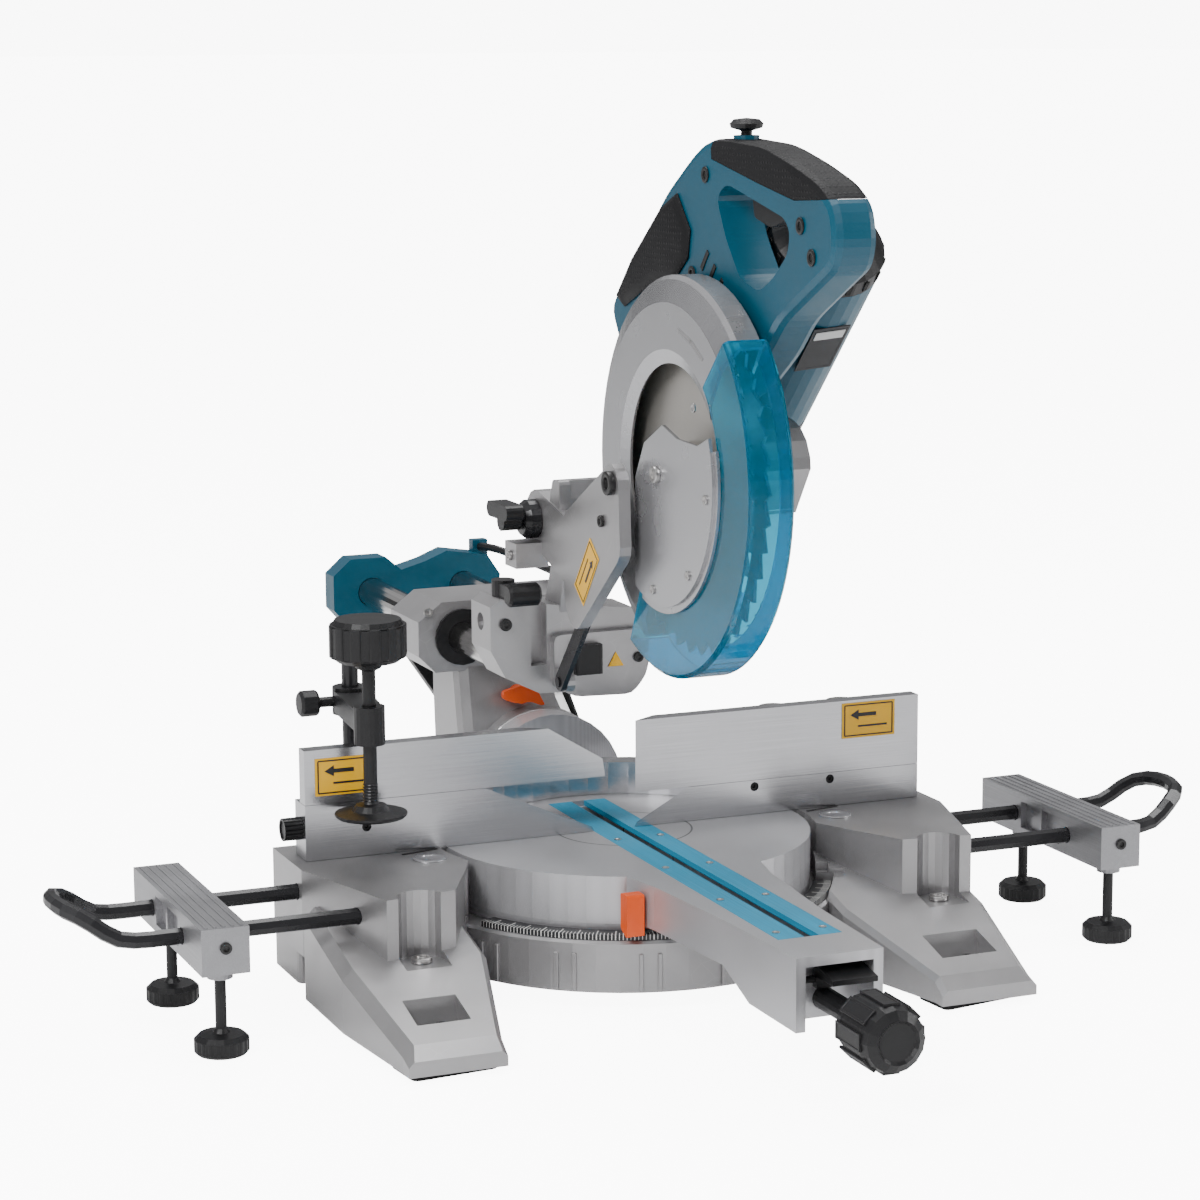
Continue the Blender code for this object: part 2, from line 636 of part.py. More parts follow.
def build_bevel_arm():
    body("bevel_arm", (0, BEVEL_FACE_Y, TABLE_Z), "turntable")
    node(bevel_arm(), "bevel_arm", "casting", "bevel_arm")
    for name, x in zip(("left", "right"), POLE_X):
        node(pole_bush(x), "pole_bush_" + name, "black", "bevel_arm")
    node(neck_lead(), "neck_lead", "black", "bevel_arm")
    body("bevel_lock_lever", (0, 270, TABLE_Z), "bevel_arm")
    node(bevel_lock_lever(), "bevel_lock_lever", "black", "bevel_lock_lever")
    body("bevel_latch_lever", LATCH, "bevel_arm")
    node(bevel_latch_lever(), "bevel_latch_lever", "orange", "bevel_latch_lever")


# ---------------------------------------------------------------- carriage

def slide_pole(x):
    return cylinder((x, CARRIAGE_Y[1] - 30, POLE_Z), (x, REACH - 10, POLE_Z), POLE_D / 2, 20)


def rear_pole_holder():
    """The cast yoke that joins the poles' rear ends."""
    y0, y1 = REACH - 24, REACH
    outline = [(-92, 200), (-78, 184), (-46, 184), (-32, 200), (-2, 200), (10, 186), (42, 186), (58, 200),
               (62, 222), (50, 240), (12, 246), (-8, 238), (-30, 232), (-44, 244), (-76, 244), (-92, 230)]
    yoke = weld(prism("y", outline, y0, y1), block((40, y0 + 10, 234), (54, y1 - 4, 252)))
    bores = [cylinder((x, y0 - 2, POLE_Z), (x, REACH - 10 + FIT, POLE_Z), POLE_D / 2 + FIT, 20) for x in POLE_X]
    return carve(yoke, *bores)


def carriage_casting():
    """The block on the poles' front ends, with the front plate and the upstand for the hinge."""
    y0, y1 = CARRIAGE_Y
    x0, x1 = -80, 50
    block_outline = [(x0, 226), (x0 + 12, 204), (-40, 190), (16, 188), (x1 - 8, 196), (x1, 212),
                     (x1, 238), (x1 - 12, 252), (-24, 258), (x0 + 8, 266), (x0, 260)]
    main = prism("y", block_outline, y0 + 8, y1)
    plate_outline = [(-31, 196), (-14, 186.5), (34, 185), (46, 199), (49, 214), (49, 236), (-31, 236)]
    plate = prism("y", rounded(plate_outline, 6, 2), y0, y0 + 11)
    upstand = loft("z", [(250, rectangle(-23, 13, 70.6, 104)), (300, rectangle(-23, 13, 57, 82)),
                         (326, rectangle(-23, 13, 56, 76))])
    barrel = cylinder((-24, *HINGE), (14, *HINGE), 22, 24)
    ly, lz = LINK_PIVOT
    lug = cylinder((-30, ly, lz), (-23.5, ly, lz), 8, 14)
    lug_root = block((-29.2, ly, lz - 7), (-24, y0 + 6, lz + 7))
    carriage = weld(main, plate, upstand, barrel, lug, lug_root)
    cuts = [cylinder((x, y1 - 30 - FIT, POLE_Z), (x, y1 + 2, POLE_Z), POLE_D / 2 + FIT, 20) for x in POLE_X]
    cuts.append(cylinder((-60, *HINGE), (60, *HINGE), 8 + FIT, 16))
    cuts.append(cylinder((x0 - 4, 92, 246), (x0 + 5, 92, 246), 7, 14))
    cuts.append(block((-47, y0 - 4, 212), (-34, y1 - 31, 280)))
    return carve(carriage, *cuts)


def hinge_shaft():
    """The head's hinge shaft with a round spring cover on its left end."""
    shaft = cylinder((-46, *HINGE), (38, *HINGE), 8, 16)
    cover = turned([(0, 0), (15, 0), (15, 8), (12, 12), (0, 13)], (-45.6, *HINGE), (-1, 0, 0), 20)
    nut = turned([(0, 0), (12, 0), (12, 5), (0, 6)], (CHEEK_X + FIT, *HINGE), (1, 0, 0), 6)
    return weld(shaft, cover, nut)


def laser_unit():
    """The marking laser's small box on the carriage's front plate."""
    y1 = CARRIAGE_Y[0] - FIT
    return prism("z", rounded(rectangle(-16, 6, y1 - 9.2, y1), 2, 2), 205, 228)


def stopper_arm():
    """The swinging stop on top of the carriage that limits the depth of a grooving cut."""
    hub = cylinder((-64, 84, 266 + FIT), (-64, 84, 279), 9, 16)
    bar = prism("z", rectangle(-70, -58, 52, 84), 267, 277)
    tube_part = turned([(0, 0), (7, 0), (9, 2), (9, 24), (7, 26), (0, 26)], (-74, 50, 272), (1, 0, 0), 16)
    return weld(tube_part, bar, hub)


def stopper_pin():
    """The pull pin that holds the head down, with a T-shaped knob."""
    hy, hz = HINGE
    neck = cylinder((-74, hy, hz), (-59.2, hy, hz), 8, 14)
    bar = prism("x", capsule((hy - 24, hz + 9), (hy + 8, hz + 9), 6, 6), -80, -66)
    return weld(bar, neck)


def guard_link():
    outline = capsule(LINK_PIVOT, LINK_PIN, 7, 6)
    bar = prism("x", outline, -34.3, -30.3)
    pin = cylinder((-35.7, *LINK_PIVOT), (-33, *LINK_PIVOT), 4, 12)
    return weld(bar, pin)


def pole_lead():
    points = [(18, CARRIAGE_Y[1] + 1.2, 247), (19, 124, 249), (24, 150, 253), (34, 200, 255), (42, 260, 253),
              (48, 330, 250), (49, 390, 249), (48, 415, 248), (47, REACH - 14.4, 246)]
    return tube(smooth_route(points, 12), 7.0)


def build_carriage():
    body("carriage", (POLE_MID_X, CARRIAGE_Y[1], POLE_Z), "bevel_arm")
    node(carriage_casting(), "carriage_casting", "casting", "carriage")
    for name, x in zip(("left", "right"), POLE_X):
        node(slide_pole(x), "slide_pole_" + name, "steel", "carriage")
    node(rear_pole_holder(), "rear_pole_holder", "teal", "carriage")
    node(hinge_shaft(), "hinge_shaft", "black_steel", "carriage")
    node(laser_unit(), "laser_unit", "black", "carriage")
    node(pole_lead(), "pole_lead", "black", "carriage")
    body("stopper_arm", (-64, 84, 272), "carriage")
    node(stopper_arm(), "stopper_arm", "black", "stopper_arm")
    body("stopper_pin", (-70, *HINGE), "carriage")
    node(stopper_pin(), "stopper_pin", "black", "stopper_pin")
    body("guard_link", (-32, *LINK_PIVOT), "carriage")
    node(guard_link(), "guard_link", "black_steel", "guard_link")


# ---------------------------------------------------------------- head

def beyond(along, across):
    """A point along the way out of the blade's opening and across it, from the arbor."""
    dy, dz = OPEN_DIR
    return ARBOR[0] + dy * along - dz * across, ARBOR[1] + dz * along + dy * across


def opening_cutter(offset):
    """Everything on the open side of the blade case, beyond offset from the arbor."""
    corners = [beyond(offset, -300), beyond(400, -300), beyond(400, 300), beyond(offset, 300)]
    return prism("x", corners, -60, 160)


def blade_case():
    x0, x1 = CASE_X
    wall = 2.5
    profile = [(x0 + 4, 78), (x0, 88), (x0, 121), (x0 + 6, 137), (x0 + 9, CASE_R), (x1, CASE_R), (x1, 22),
               (x1 - wall, 22), (x1 - wall, CASE_R - wall), (x0 + 10, CASE_R - wall), (x0 + 8.5, 135),
               (x0 + 2.7, 119.5), (x0 + 2.7, 90), (x0 + 6.5, 79.5)]
    shell = turned([(r, x) for x, r in profile], (0, *ARBOR), (1, 0, 0), 64)
    return carve(shell, opening_cutter(OPEN_OFFSET))


def head_arm():
    """The casting between the hinge and the head: a left cheek, a right cheek and the web that joins them."""
    hy, hz = HINGE
    left_outline = rounded([(-100, 378), (-88, 390), (-15, 350), (7, 338), (5, 272), (-8, 257), (-20, 255),
                            (-103, 322)], 7, 2)
    left = prism("x", left_outline, -45, -36)
    left_eye = prism("x", capsule(HINGE, (0, 312), 22, 24), -45, -24.6)
    right = prism("x", capsule(*CHEEK), 14.6, CHEEK_X)
    web = prism("x", rounded([(16, 324), (37, 324), (36, 346), (30, 362), (16, 362)], 3, 2), -44, CHEEK_X - 1)
    bracket = block((-66, 50, 292), (-40, 74, 311))
    arm = weld(left, left_eye, right, web, bracket)
    bore = cylinder((-60, hy, hz), (60, hy, hz), 8 + FIT, 16)
    barrel_way = cylinder((-24.5, hy, hz), (14.5, hy, hz), 22.6, 24)
    guard_way = cylinder((-35.5, *ARBOR), (13, *ARBOR), 147.5, 48)
    screw_hole = cylinder((-50, -88, 374), (-20, -88, 374), 4, 12)
    return carve(arm, bore, barrel_way, guard_way, screw_hole)


def along_motor(distance):
    """A point on the motor's axis, at a distance from its lower end."""
    (y0, z0), (y1, z1) = MOTOR_AXIS
    share = distance / math.dist(*MOTOR_AXIS)
    return y0 + (y1 - y0) * share, z0 + (z1 - z0) * share


def motor_turned(profile, start, segments=32):
    """Turn a profile about the motor's axis."""
    (y0, z0), (y1, z1) = MOTOR_AXIS
    return turned(profile, (MOTOR_X, *along_motor(start)), (0, y1 - y0, z1 - z0), segments)


def gear_body(extra=0.0):
    """The gear case's flat body, from the arbor to the foot of the motor."""
    return prism("x", capsule(ARBOR, along_motor(-46), 34 + extra, 40 + extra), 13.3 - extra, 78 + extra)


def gear_stub(extra=0.0):
    """The gear case's round end under the motor."""
    radius = MOTOR_R + 1 + extra
    return motor_turned([(0, 0), (radius - 7, 0), (radius, 12), (radius, 48 + extra), (0, 48 + extra)], -48 - FIT)


def gear_flange(extra=0.0):
    """The round plate that the blade case is bolted to."""
    return cylinder((CASE_X[1] + FIT, *ARBOR), (20 + extra, *ARBOR), 60 + extra, 32)


def gear_housing():
    """The gear case between the blade's arbor and the foot of the motor."""
    gear = weld(gear_body(), gear_flange(), gear_stub())
    bore = cylinder((0, *ARBOR), (70, *ARBOR), 9 + FIT, 16)
    p, q, rp, rq = CHEEK
    arm_way = prism("x", capsule(p, q, rp + FIT, rq + FIT), 0, CHEEK_X + FIT)
    return carve(gear, bore, opening_cutter(26), arm_way)


def motor_housing():
    """The motor's barrel and the plastic body that carries it beside the handle."""
    length = math.dist(*MOTOR_AXIS)
    radius = MOTOR_R + 1
    barrel = motor_turned([(0, 0), (radius - 1, 0), (radius, 6), (radius, length), (0, length)], 0)
    bridge = prism("x", rounded([(-60, 436), (20, 436), (58, 487), (9, 531), (-50, 576), (-96, 578),
                                 (-117, 555), (-84, 500)], 10), HANDLE_X[1] + FIT, MOTOR_X)
    return carve(weld(barrel, bridge), gear_body(FIT), gear_stub(FIT))


def motor_end_cap():
    radius, length = MOTOR_R + 1, math.dist(*MOTOR_AXIS)
    profile = [(0, 0), (radius, 0), (radius - 1, 12), (radius - 11, CAP_LENGTH - 2), (0, CAP_LENGTH)]
    return motor_turned(profile, length + FIT)


HANDLE_OUTLINE = [(-60, 420), (20, 430), (58, 487), (9, 531), (-50, 579), (-95, 606), (-119, 617), (-146, 619),
                  (-210, 616), (-255, 606), (-297, 594), (-320, 580), (-325, 556), (-318, 538),
                  (-298, 528), (-240, 498), (-215, 474), (-176, 448), (-110, 420)]
HAND_HOLE = [(-139, 578), (-155, 550), (-178, 524), (-208, 517), (-230, 527), (-254, 546), (-256, 561),
             (-247, 569), (-185, 582), (-155, 588)]
GRIP_PAD = [(-127, 632), (-130, 604), (-207, 590), (-262, 581), (-300, 583), (-340, 586), (-340, 632)]


def handle_blank():
    """The handle's full outline with softened edges, before it is divided."""
    blank = prism("x", rounded(HANDLE_OUTLINE, 12), *HANDLE_X)
    edge = blank.modifiers.new("edge", "BEVEL")
    edge.width = 6 * MM
    edge.segments = 2
    edge.limit_method = "ANGLE"
    edge.angle_limit = math.radians(60)
    return bake(blank)


def handle_shell():
    x0, x1 = HANDLE_X
    by, bx = BUTTON_Y, sum(HANDLE_X) / 2
    shell = carve(handle_blank(), prism("x", GRIP_PAD, x0 - 5, x1 + 5))
    collar = cylinder((bx, by, 590), (bx, by, 621), 9, 18)
    hole = prism("x", rounded(HAND_HOLE, 8), x0 - 5, x1 + 5)
    trigger_way = prism("x", [(-172, 590), (-236, 579), (-236, 558), (-172, 558)], x0 + 9, x1 - 9)
    button_way = cylinder((bx, by, 603), (bx, by, 640), 4 + FIT, 14)
    return carve(weld(shell, collar), hole, trigger_way, button_way, gear_body(FIT), gear_flange(FIT))


def handle_grip_pad():
    """The soft pad over the handle's top."""
    x0, x1 = HANDLE_X
    by, bx = BUTTON_Y, sum(HANDLE_X) / 2
    region = [(y, z + FIT) for y, z in GRIP_PAD]
    region[:2] = [(y - FIT, z) for y, z in region[:2]]
    pad = combine(handle_blank(), [prism("x", region, x0 - 5, x1 + 5)], "INTERSECT")
    return carve(pad, cylinder((bx, by, 580), (bx, by, 640), 9 + FIT, 18))


def build_head():
    body("head", (0, *HINGE), "carriage")
    node(head_arm(), "head_arm", "casting", "head")
    node(blade_case(), "blade_case", "casting", "head")
    node(gear_housing(), "gear_housing", "casting", "head")
    node(motor_housing(), "motor_housing", "teal", "head")
    node(motor_end_cap(), "motor_end_cap", "black", "head")
    node(handle_shell(), "handle_shell", "teal", "head")
    node(handle_grip_pad(), "handle_grip_pad", "soft", "head")


def blade():
    """The toothed disc with its flanges; the teeth are a fine zigzag on the rim."""
    teeth = 40
    outline = []
    for k in range(teeth):
        turn = 2 * math.pi * k / teeth
        for share, radius in ((0.0, BLADE_R), (0.25, BLADE_R - 8)):
            angle = turn + share * 2 * math.pi / teeth
            outline.append((ARBOR[0] + radius * math.cos(angle), ARBOR[1] + radius * math.sin(angle)))
    disc = prism("x", outline, -1.2, 1.2)
    bore = cylinder((-3, *ARBOR), (3, *ARBOR), 8 + FIT, 20)
    return carve(disc, bore)


def arbor_shaft():
    """The arbor with its two flanges and the blade bolt, turned in one piece."""
    profile = [(0, -21), (7, -21), (7, -12), (9, -11), (9, -9), (22, -8), (22, -1.5), (8, -1.5), (8, 1.5),
               (20, 1.5), (20, 5), (9, 5), (9, 62), (0, 62)]
    return turned(profile, (0, *ARBOR), (1, 0, 0), 20)


def blade_guard():
    x0, x1 = GUARD_X
    profile = [(x0, 96), (x0, GUARD_R - 3), (x0 + 3, GUARD_R), (x1 - 2, GUARD_R), (x1, GUARD_R - 2), (x1, 124),
               (x1 - 2, 124), (x1 - 2, CASE_R + 2.5), (x0 + 2, CASE_R + 2.5), (x0 + 2, 96)]
    return sector(profile, GUARD_SPAN, 40)


def centre_cover():
    """The plate in front of the blade bolt, which turns with the guard."""
    ay, az = ARBOR
    low, high = GUARD_SPAN[0], 22.0
    rim = [(ay - 94 * math.cos(t), az + 94 * math.sin(t))
           for t in [math.radians(low + (high - low) * i / 20) for i in range(21)]]
    outline = rim + [(-196, 412), (-162, 413), (-136, 420), (-104, 404), (-88, 378), (-86, 340)]
    plate = prism("x", outline, -26.5, -24)
    lip = sector([(-24.5, 92), (-24.5, 99), (-22.3, 99), (-22.3, 92)], (low + 6, high - 6), 24)
    return weld(plate, lip)


def trigger():
    return prism("x", rounded([(-176, 584), (-228, 574), (-230, 566), (-206, 560), (-180, 566)], 3, 2),
                 HANDLE_X[0] + 10, HANDLE_X[1] - 10)


def lock_off_button():
    """The mushroom button that frees the trigger."""
    profile = [(0, 0), (4, 0), (4, 17), (11, 19), (12, 22), (9, 25), (0, 26)]
    return turned(profile, (sum(HANDLE_X) / 2, BUTTON_Y, 607), (0, 0, 1), 18)


def build_moving_head():
    body("trigger", (30, -178, 580), "head")
    node(trigger(), "trigger", "black", "trigger")
    body("lock_off_button", (30, BUTTON_Y, 620), "head")
    node(lock_off_button(), "lock_off_button", "black", "lock_off_button")
    body("blade", (0, *ARBOR), "head")
    node(blade(), "blade", "steel", "blade")
    node(arbor_shaft(), "arbor_shaft", "steel", "blade")
    body("guard", (0, *ARBOR), "head")
    node(blade_guard(), "blade_guard", "guard", "guard")
    node(centre_cover(), "centre_cover", "casting", "guard")


def main():
    clear_scene()
    build_base()
    build_holders()
    build_vise()
    build_turntable()
    build_bevel_arm()
    build_carriage()
    build_head()
    build_moving_head()


main()
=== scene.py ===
"""The looks of a sliding compound mitre saw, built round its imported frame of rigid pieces.

Lengths are in metres, +Z is up and the saw's front is -Y.  The blade stands in the plane x = 0.
"""
import logging
import math
from dataclasses import dataclass, field
from enum import Enum

import bpy
from mathutils import Matrix, Vector


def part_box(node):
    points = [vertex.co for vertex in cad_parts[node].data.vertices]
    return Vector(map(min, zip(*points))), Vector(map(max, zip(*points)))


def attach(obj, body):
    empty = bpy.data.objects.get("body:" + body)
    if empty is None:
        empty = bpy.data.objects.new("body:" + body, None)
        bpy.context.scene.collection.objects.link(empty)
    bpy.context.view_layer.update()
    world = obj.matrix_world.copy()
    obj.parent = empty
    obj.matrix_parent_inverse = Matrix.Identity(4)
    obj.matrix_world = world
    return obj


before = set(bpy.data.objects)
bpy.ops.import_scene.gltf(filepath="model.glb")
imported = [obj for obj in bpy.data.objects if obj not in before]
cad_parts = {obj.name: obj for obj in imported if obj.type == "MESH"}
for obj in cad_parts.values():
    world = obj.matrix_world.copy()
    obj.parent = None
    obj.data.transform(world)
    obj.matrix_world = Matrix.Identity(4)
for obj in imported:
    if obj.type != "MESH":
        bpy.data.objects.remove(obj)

LOG = logging.getLogger("mitre_saw")
Socket = bpy.types.NodeSocket
Colour = tuple[float, float, float, float]
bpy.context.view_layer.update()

ARBOR = Vector((0.0, -0.127, 0.384))          # the blade's axis runs through here, along X
MOTOR_FOOT = Vector((0.095, -0.030, 0.426))   # lower end of the motor's axis
MOTOR_DIRECTION = Vector((0.0, -113.0, 112.0)).normalized()


class Axis(Enum):
    """The three directions that lines, rings or pins can follow."""

    X = (1.0, 0.0, 0.0)
    Y = (0.0, 1.0, 0.0)
    Z = (0.0, 0.0, 1.0)


# ---------------------------------------------------------------- node trees


@dataclass
class Graph:
    """A node tree with short calls for adding and linking nodes."""

    tree: bpy.types.NodeTree

    def add(self, kind: str, sockets: dict | None = None, **settings: object) -> bpy.types.Node:
        """Add a node.

        Args:
            kind: The node's type name.
            sockets: Input name or number to a value, or to an output socket to link from.
            settings: The node's own properties.

        Returns:
            The new node.
        """
        node = self.tree.nodes.new(kind)
        for key, value in settings.items():
            setattr(node, key, value)
        for key, value in (sockets or {}).items():
            if isinstance(value, Socket):
                self.tree.links.new(value, node.inputs[key])
            else:
                node.inputs[key].default_value = value
        return node

    def maths(self, operation: str, *values: "Socket | float") -> Socket:
        """Add a Math node and return its value."""
        return self.add("ShaderNodeMath", dict(enumerate(values)), operation=operation).outputs[0]

    def remap(self, value: Socket, low: float, high: float, new_low: float,
              new_high: float) -> Socket:
        """Add a clamped Map Range node and return its result."""
        sockets = {"Value": value, "From Min": low, "From Max": high, "To Min": new_low, "To Max": new_high}
        return self.add("ShaderNodeMapRange", sockets).outputs["Result"]

    def blend(self, amount: "Socket | float", first: "Socket | Colour", second: "Socket | Colour") -> Socket:
        """Mix two colours and return the result."""
        node = self.add("ShaderNodeMix", {0: amount, 6: first, 7: second}, data_type="RGBA")
        return node.outputs[2]

    def link(self, source: Socket, target: Socket) -> None:
        """Link two sockets."""
        self.tree.links.new(source, target)


def new_group(name: str, inputs: dict[str, float], outputs: list[str]) -> tuple[Graph, dict, dict]:
    """Start a node group with a Vector input, float inputs and float outputs.

    Args:
        name: The group's name.
        inputs: Float input names and their starting values.
        outputs: Float output names.

    Returns:
        The group's graph, its inputs by name and the sockets its outputs link to.
    """
    tree = bpy.data.node_groups.new(name, "ShaderNodeTree")
    tree.interface.new_socket("Vector", in_out="INPUT", socket_type="NodeSocketVector")
    for label, value in inputs.items():
        socket = tree.interface.new_socket(label, in_out="INPUT", socket_type="NodeSocketFloat")
        socket.default_value = value
    for label in outputs:
        tree.interface.new_socket(label, in_out="OUTPUT", socket_type="NodeSocketFloat")
    source = tree.nodes.new("NodeGroupInput")
    target = tree.nodes.new("NodeGroupOutput")
    return Graph(tree), {s.name: s for s in source.outputs}, {s.name: s for s in target.inputs}


def grain_group() -> bpy.types.NodeTree:
    """A fine surface grain with soft blotches: Height for the bump and Mask for colour and gloss."""
    graph, given, out = new_group("surface_grain", {"Scale": 900.0, "Blotch Scale": 16.0}, ["Height", "Mask"])
    fine = graph.add("ShaderNodeTexNoise", {"Vector": given["Vector"], "Scale": given["Scale"], "Detail": 3.0})
    broad = graph.add("ShaderNodeTexNoise", {"Vector": given["Vector"], "Scale": given["Blotch Scale"],
                                             "Detail": 5.0, "Roughness": 0.6})
    graph.link(fine.outputs["Fac"], out["Height"])
    graph.link(graph.remap(broad.outputs["Fac"], 0.36, 0.66, 0.0, 1.0), out["Mask"])
    return graph.tree


def scuff_group() -> bpy.types.NodeTree:
    """Thin scattered scratches and rubbed patches, as a mask."""
    graph, given, out = new_group("handling_scuffs", {"Scale": 60.0, "Amount": 0.5}, ["Mask"])
    lines = graph.add("ShaderNodeTexVoronoi", {"Vector": given["Vector"], "Scale": given["Scale"]},
                      feature="DISTANCE_TO_EDGE")
    patch = graph.add("ShaderNodeTexNoise", {"Vector": given["Vector"], "Scale": 22.0, "Detail": 4.0})
    thin = graph.remap(lines.outputs["Distance"], 0.0, 0.018, 1.0, 0.0)
    where = graph.remap(patch.outputs["Fac"], 0.52, 0.68, 0.0, 1.0)
    mask = graph.maths("MULTIPLY", graph.maths("MULTIPLY", thin, where), given["Amount"])
    graph.link(mask, out["Mask"])
    return graph.tree


GRAIN = grain_group()
SCUFFS = scuff_group()


# ---------------------------------------------------------------- finishes


@dataclass(frozen=True)
class Finish:
    """A procedural finish: a base colour that drifts a little, with grain and light handling scuffs."""

    name: str
    colour: tuple[float, float, float]
    roughness: float
    metallic: float = 0.0
    grain: float = 900.0          # grain per metre
    depth: float = 0.12           # strength of the grain's bump
    drift: float = 0.10           # how far the colour drifts between blotches
    gloss_drift: float = 0.10
    scuffs: float = 0.25
    specular: float = 0.5

    def shift(self, amount: float) -> Colour:
        """The base colour made lighter by a share, or darker by a negative one."""
        return (*[min(1.0, part * (1.0 + amount)) for part in self.colour], 1.0)

    def pattern(self, graph: Graph, place: Socket, colour: Socket,
                height: Socket) -> tuple[Socket, Socket]:
        """What a finish adds over the plain grain; the plain finish adds nothing.

        Args:
            graph: The material's nodes.
            place: Object coordinates.
            colour: The colour so far.
            height: The bump's height so far.

        Returns:
            The colour and the height with the pattern in them.
        """
        return colour, height

    def build(self) -> bpy.types.Material:
        """Make the material.

        Returns:
            The new material, on Object coordinates.
        """
        material = bpy.data.materials.new(self.name)
        material.use_nodes = True
        graph = Graph(material.node_tree)
        shader = graph.tree.nodes["Principled BSDF"]
        shader.inputs["Metallic"].default_value = self.metallic
        shader.inputs["Specular IOR Level"].default_value = self.specular
        place = graph.add("ShaderNodeTexCoord").outputs["Object"]
        grain = graph.add("ShaderNodeGroup", node_tree=GRAIN)
        scuffs = graph.add("ShaderNodeGroup", node_tree=SCUFFS)
        graph.link(place, grain.inputs["Vector"])
        graph.link(place, scuffs.inputs["Vector"])
        grain.inputs["Scale"].default_value = self.grain
        scuffs.inputs["Amount"].default_value = self.scuffs
        colour = graph.blend(grain.outputs["Mask"], self.shift(-self.drift), self.shift(self.drift))
        colour = graph.blend(scuffs.outputs["Mask"], colour, self.shift(0.6))
        rough = graph.remap(grain.outputs["Mask"], 0.0, 1.0, self.roughness * (1.0 - self.gloss_drift),
                            self.roughness * (1.0 + self.gloss_drift))
        colour, height = self.pattern(graph, place, colour, grain.outputs["Height"])
        bump = graph.add("ShaderNodeBump", {"Strength": self.depth, "Distance": 0.0004, "Height": height})
        graph.link(colour, shader.inputs["Base Color"])
        graph.link(rough, shader.inputs["Roughness"])
        graph.link(bump.outputs["Normal"], shader.inputs["Normal"])
        return material


@dataclass(frozen=True)
class BrushedFinish(Finish):
    """Metal with fine milled or drawn lines that run along one axis."""

    lines: Axis = Axis.X
    fineness: float = 1400.0

    def pattern(self, graph: Graph, place: Socket, colour: Socket, height: Socket) -> tuple[Socket, Socket]:
        """Stretch a noise along the lines, and let it shade and dent the surface."""
        scale = [12.0 if part else self.fineness for part in self.lines.value]
        mapped = graph.add("ShaderNodeMapping", {"Vector": place, "Scale": scale}).outputs[0]
        drawn = graph.add("ShaderNodeTexNoise", {"Vector": mapped, "Scale": 1.0, "Detail": 2.0})
        mask = graph.remap(drawn.outputs["Fac"], 0.3, 0.7, 0.0, 1.0)
        shaded = graph.blend(mask, self.shift(-0.16), colour)
        return shaded, graph.maths("ADD", height, graph.maths("MULTIPLY", mask, 1.4))


@dataclass(frozen=True)
class TurnedFinish(Finish):
    """Metal with fine rings round an axis, as a lathe or a grinder leaves."""

    centre: tuple[float, float, float] = (0.0, 0.0, 0.0)
    axis: Axis = Axis.Z
    pitch: float = 520.0
    groove: float = 0.0           # radius of a fine turned groove, or none

    def pattern(self, graph: Graph, place: Socket, colour: Socket, height: Socket) -> tuple[Socket, Socket]:
        """Shade and dent the surface in rings round the centre, with a darker line painted at the groove as the
        shade inside it.
        """
        shift = [-part for part in self.centre]
        mapped = graph.add("ShaderNodeMapping", {"Vector": place, "Location": shift}).outputs[0]
        rings = graph.add("ShaderNodeTexWave", {"Vector": mapped, "Scale": self.pitch, "Distortion": 0.4,
                                                "Detail": 2.0, "Detail Scale": 3.0},
                          wave_type="RINGS", rings_direction=self.axis.name)
        shaded = graph.blend(rings.outputs["Fac"], self.shift(-0.10), colour)
        if self.groove:
            parts = graph.add("ShaderNodeSeparateXYZ", {"Vector": mapped}).outputs
            reach = graph.maths("SQRT", graph.maths("ADD", graph.maths("POWER", parts[0], 2.0),
                                                    graph.maths("POWER", parts[1], 2.0)))
            line = graph.remap(graph.maths("ABSOLUTE", graph.maths("SUBTRACT", reach, self.groove)),
                               0.0004, 0.0010, 1.0, 0.0)
            # painted shade: a dark ring at the groove's radius stands in for the shade inside the groove, which is
            # not modelled
            shaded = graph.blend(line, shaded, self.shift(-0.72))
        return shaded, graph.maths("ADD", height, graph.maths("MULTIPLY", rings.outputs["Fac"], 0.9))


@dataclass(frozen=True)
class DimpledFinish(Finish):
    """A soft grip with small raised dots all over."""

    dots: float = 240.0

    def pattern(self, graph: Graph, place: Socket, colour: Socket, height: Socket) -> tuple[Socket, Socket]:
        """Raise round dots, with a painted highlight that makes their tops a little paler."""
        cells = graph.add("ShaderNodeTexVoronoi", {"Vector": place, "Scale": self.dots, "Randomness": 0.15})
        dot = graph.remap(cells.outputs["Distance"], 0.22, 0.36, 1.0, 0.0)
        raised = graph.maths("ADD", height, graph.maths("MULTIPLY", dot, 6.0))
        # painted highlight: the raised dots are paler in colour, as if light caught their tops
        return graph.blend(dot, colour, self.shift(0.5)), raised


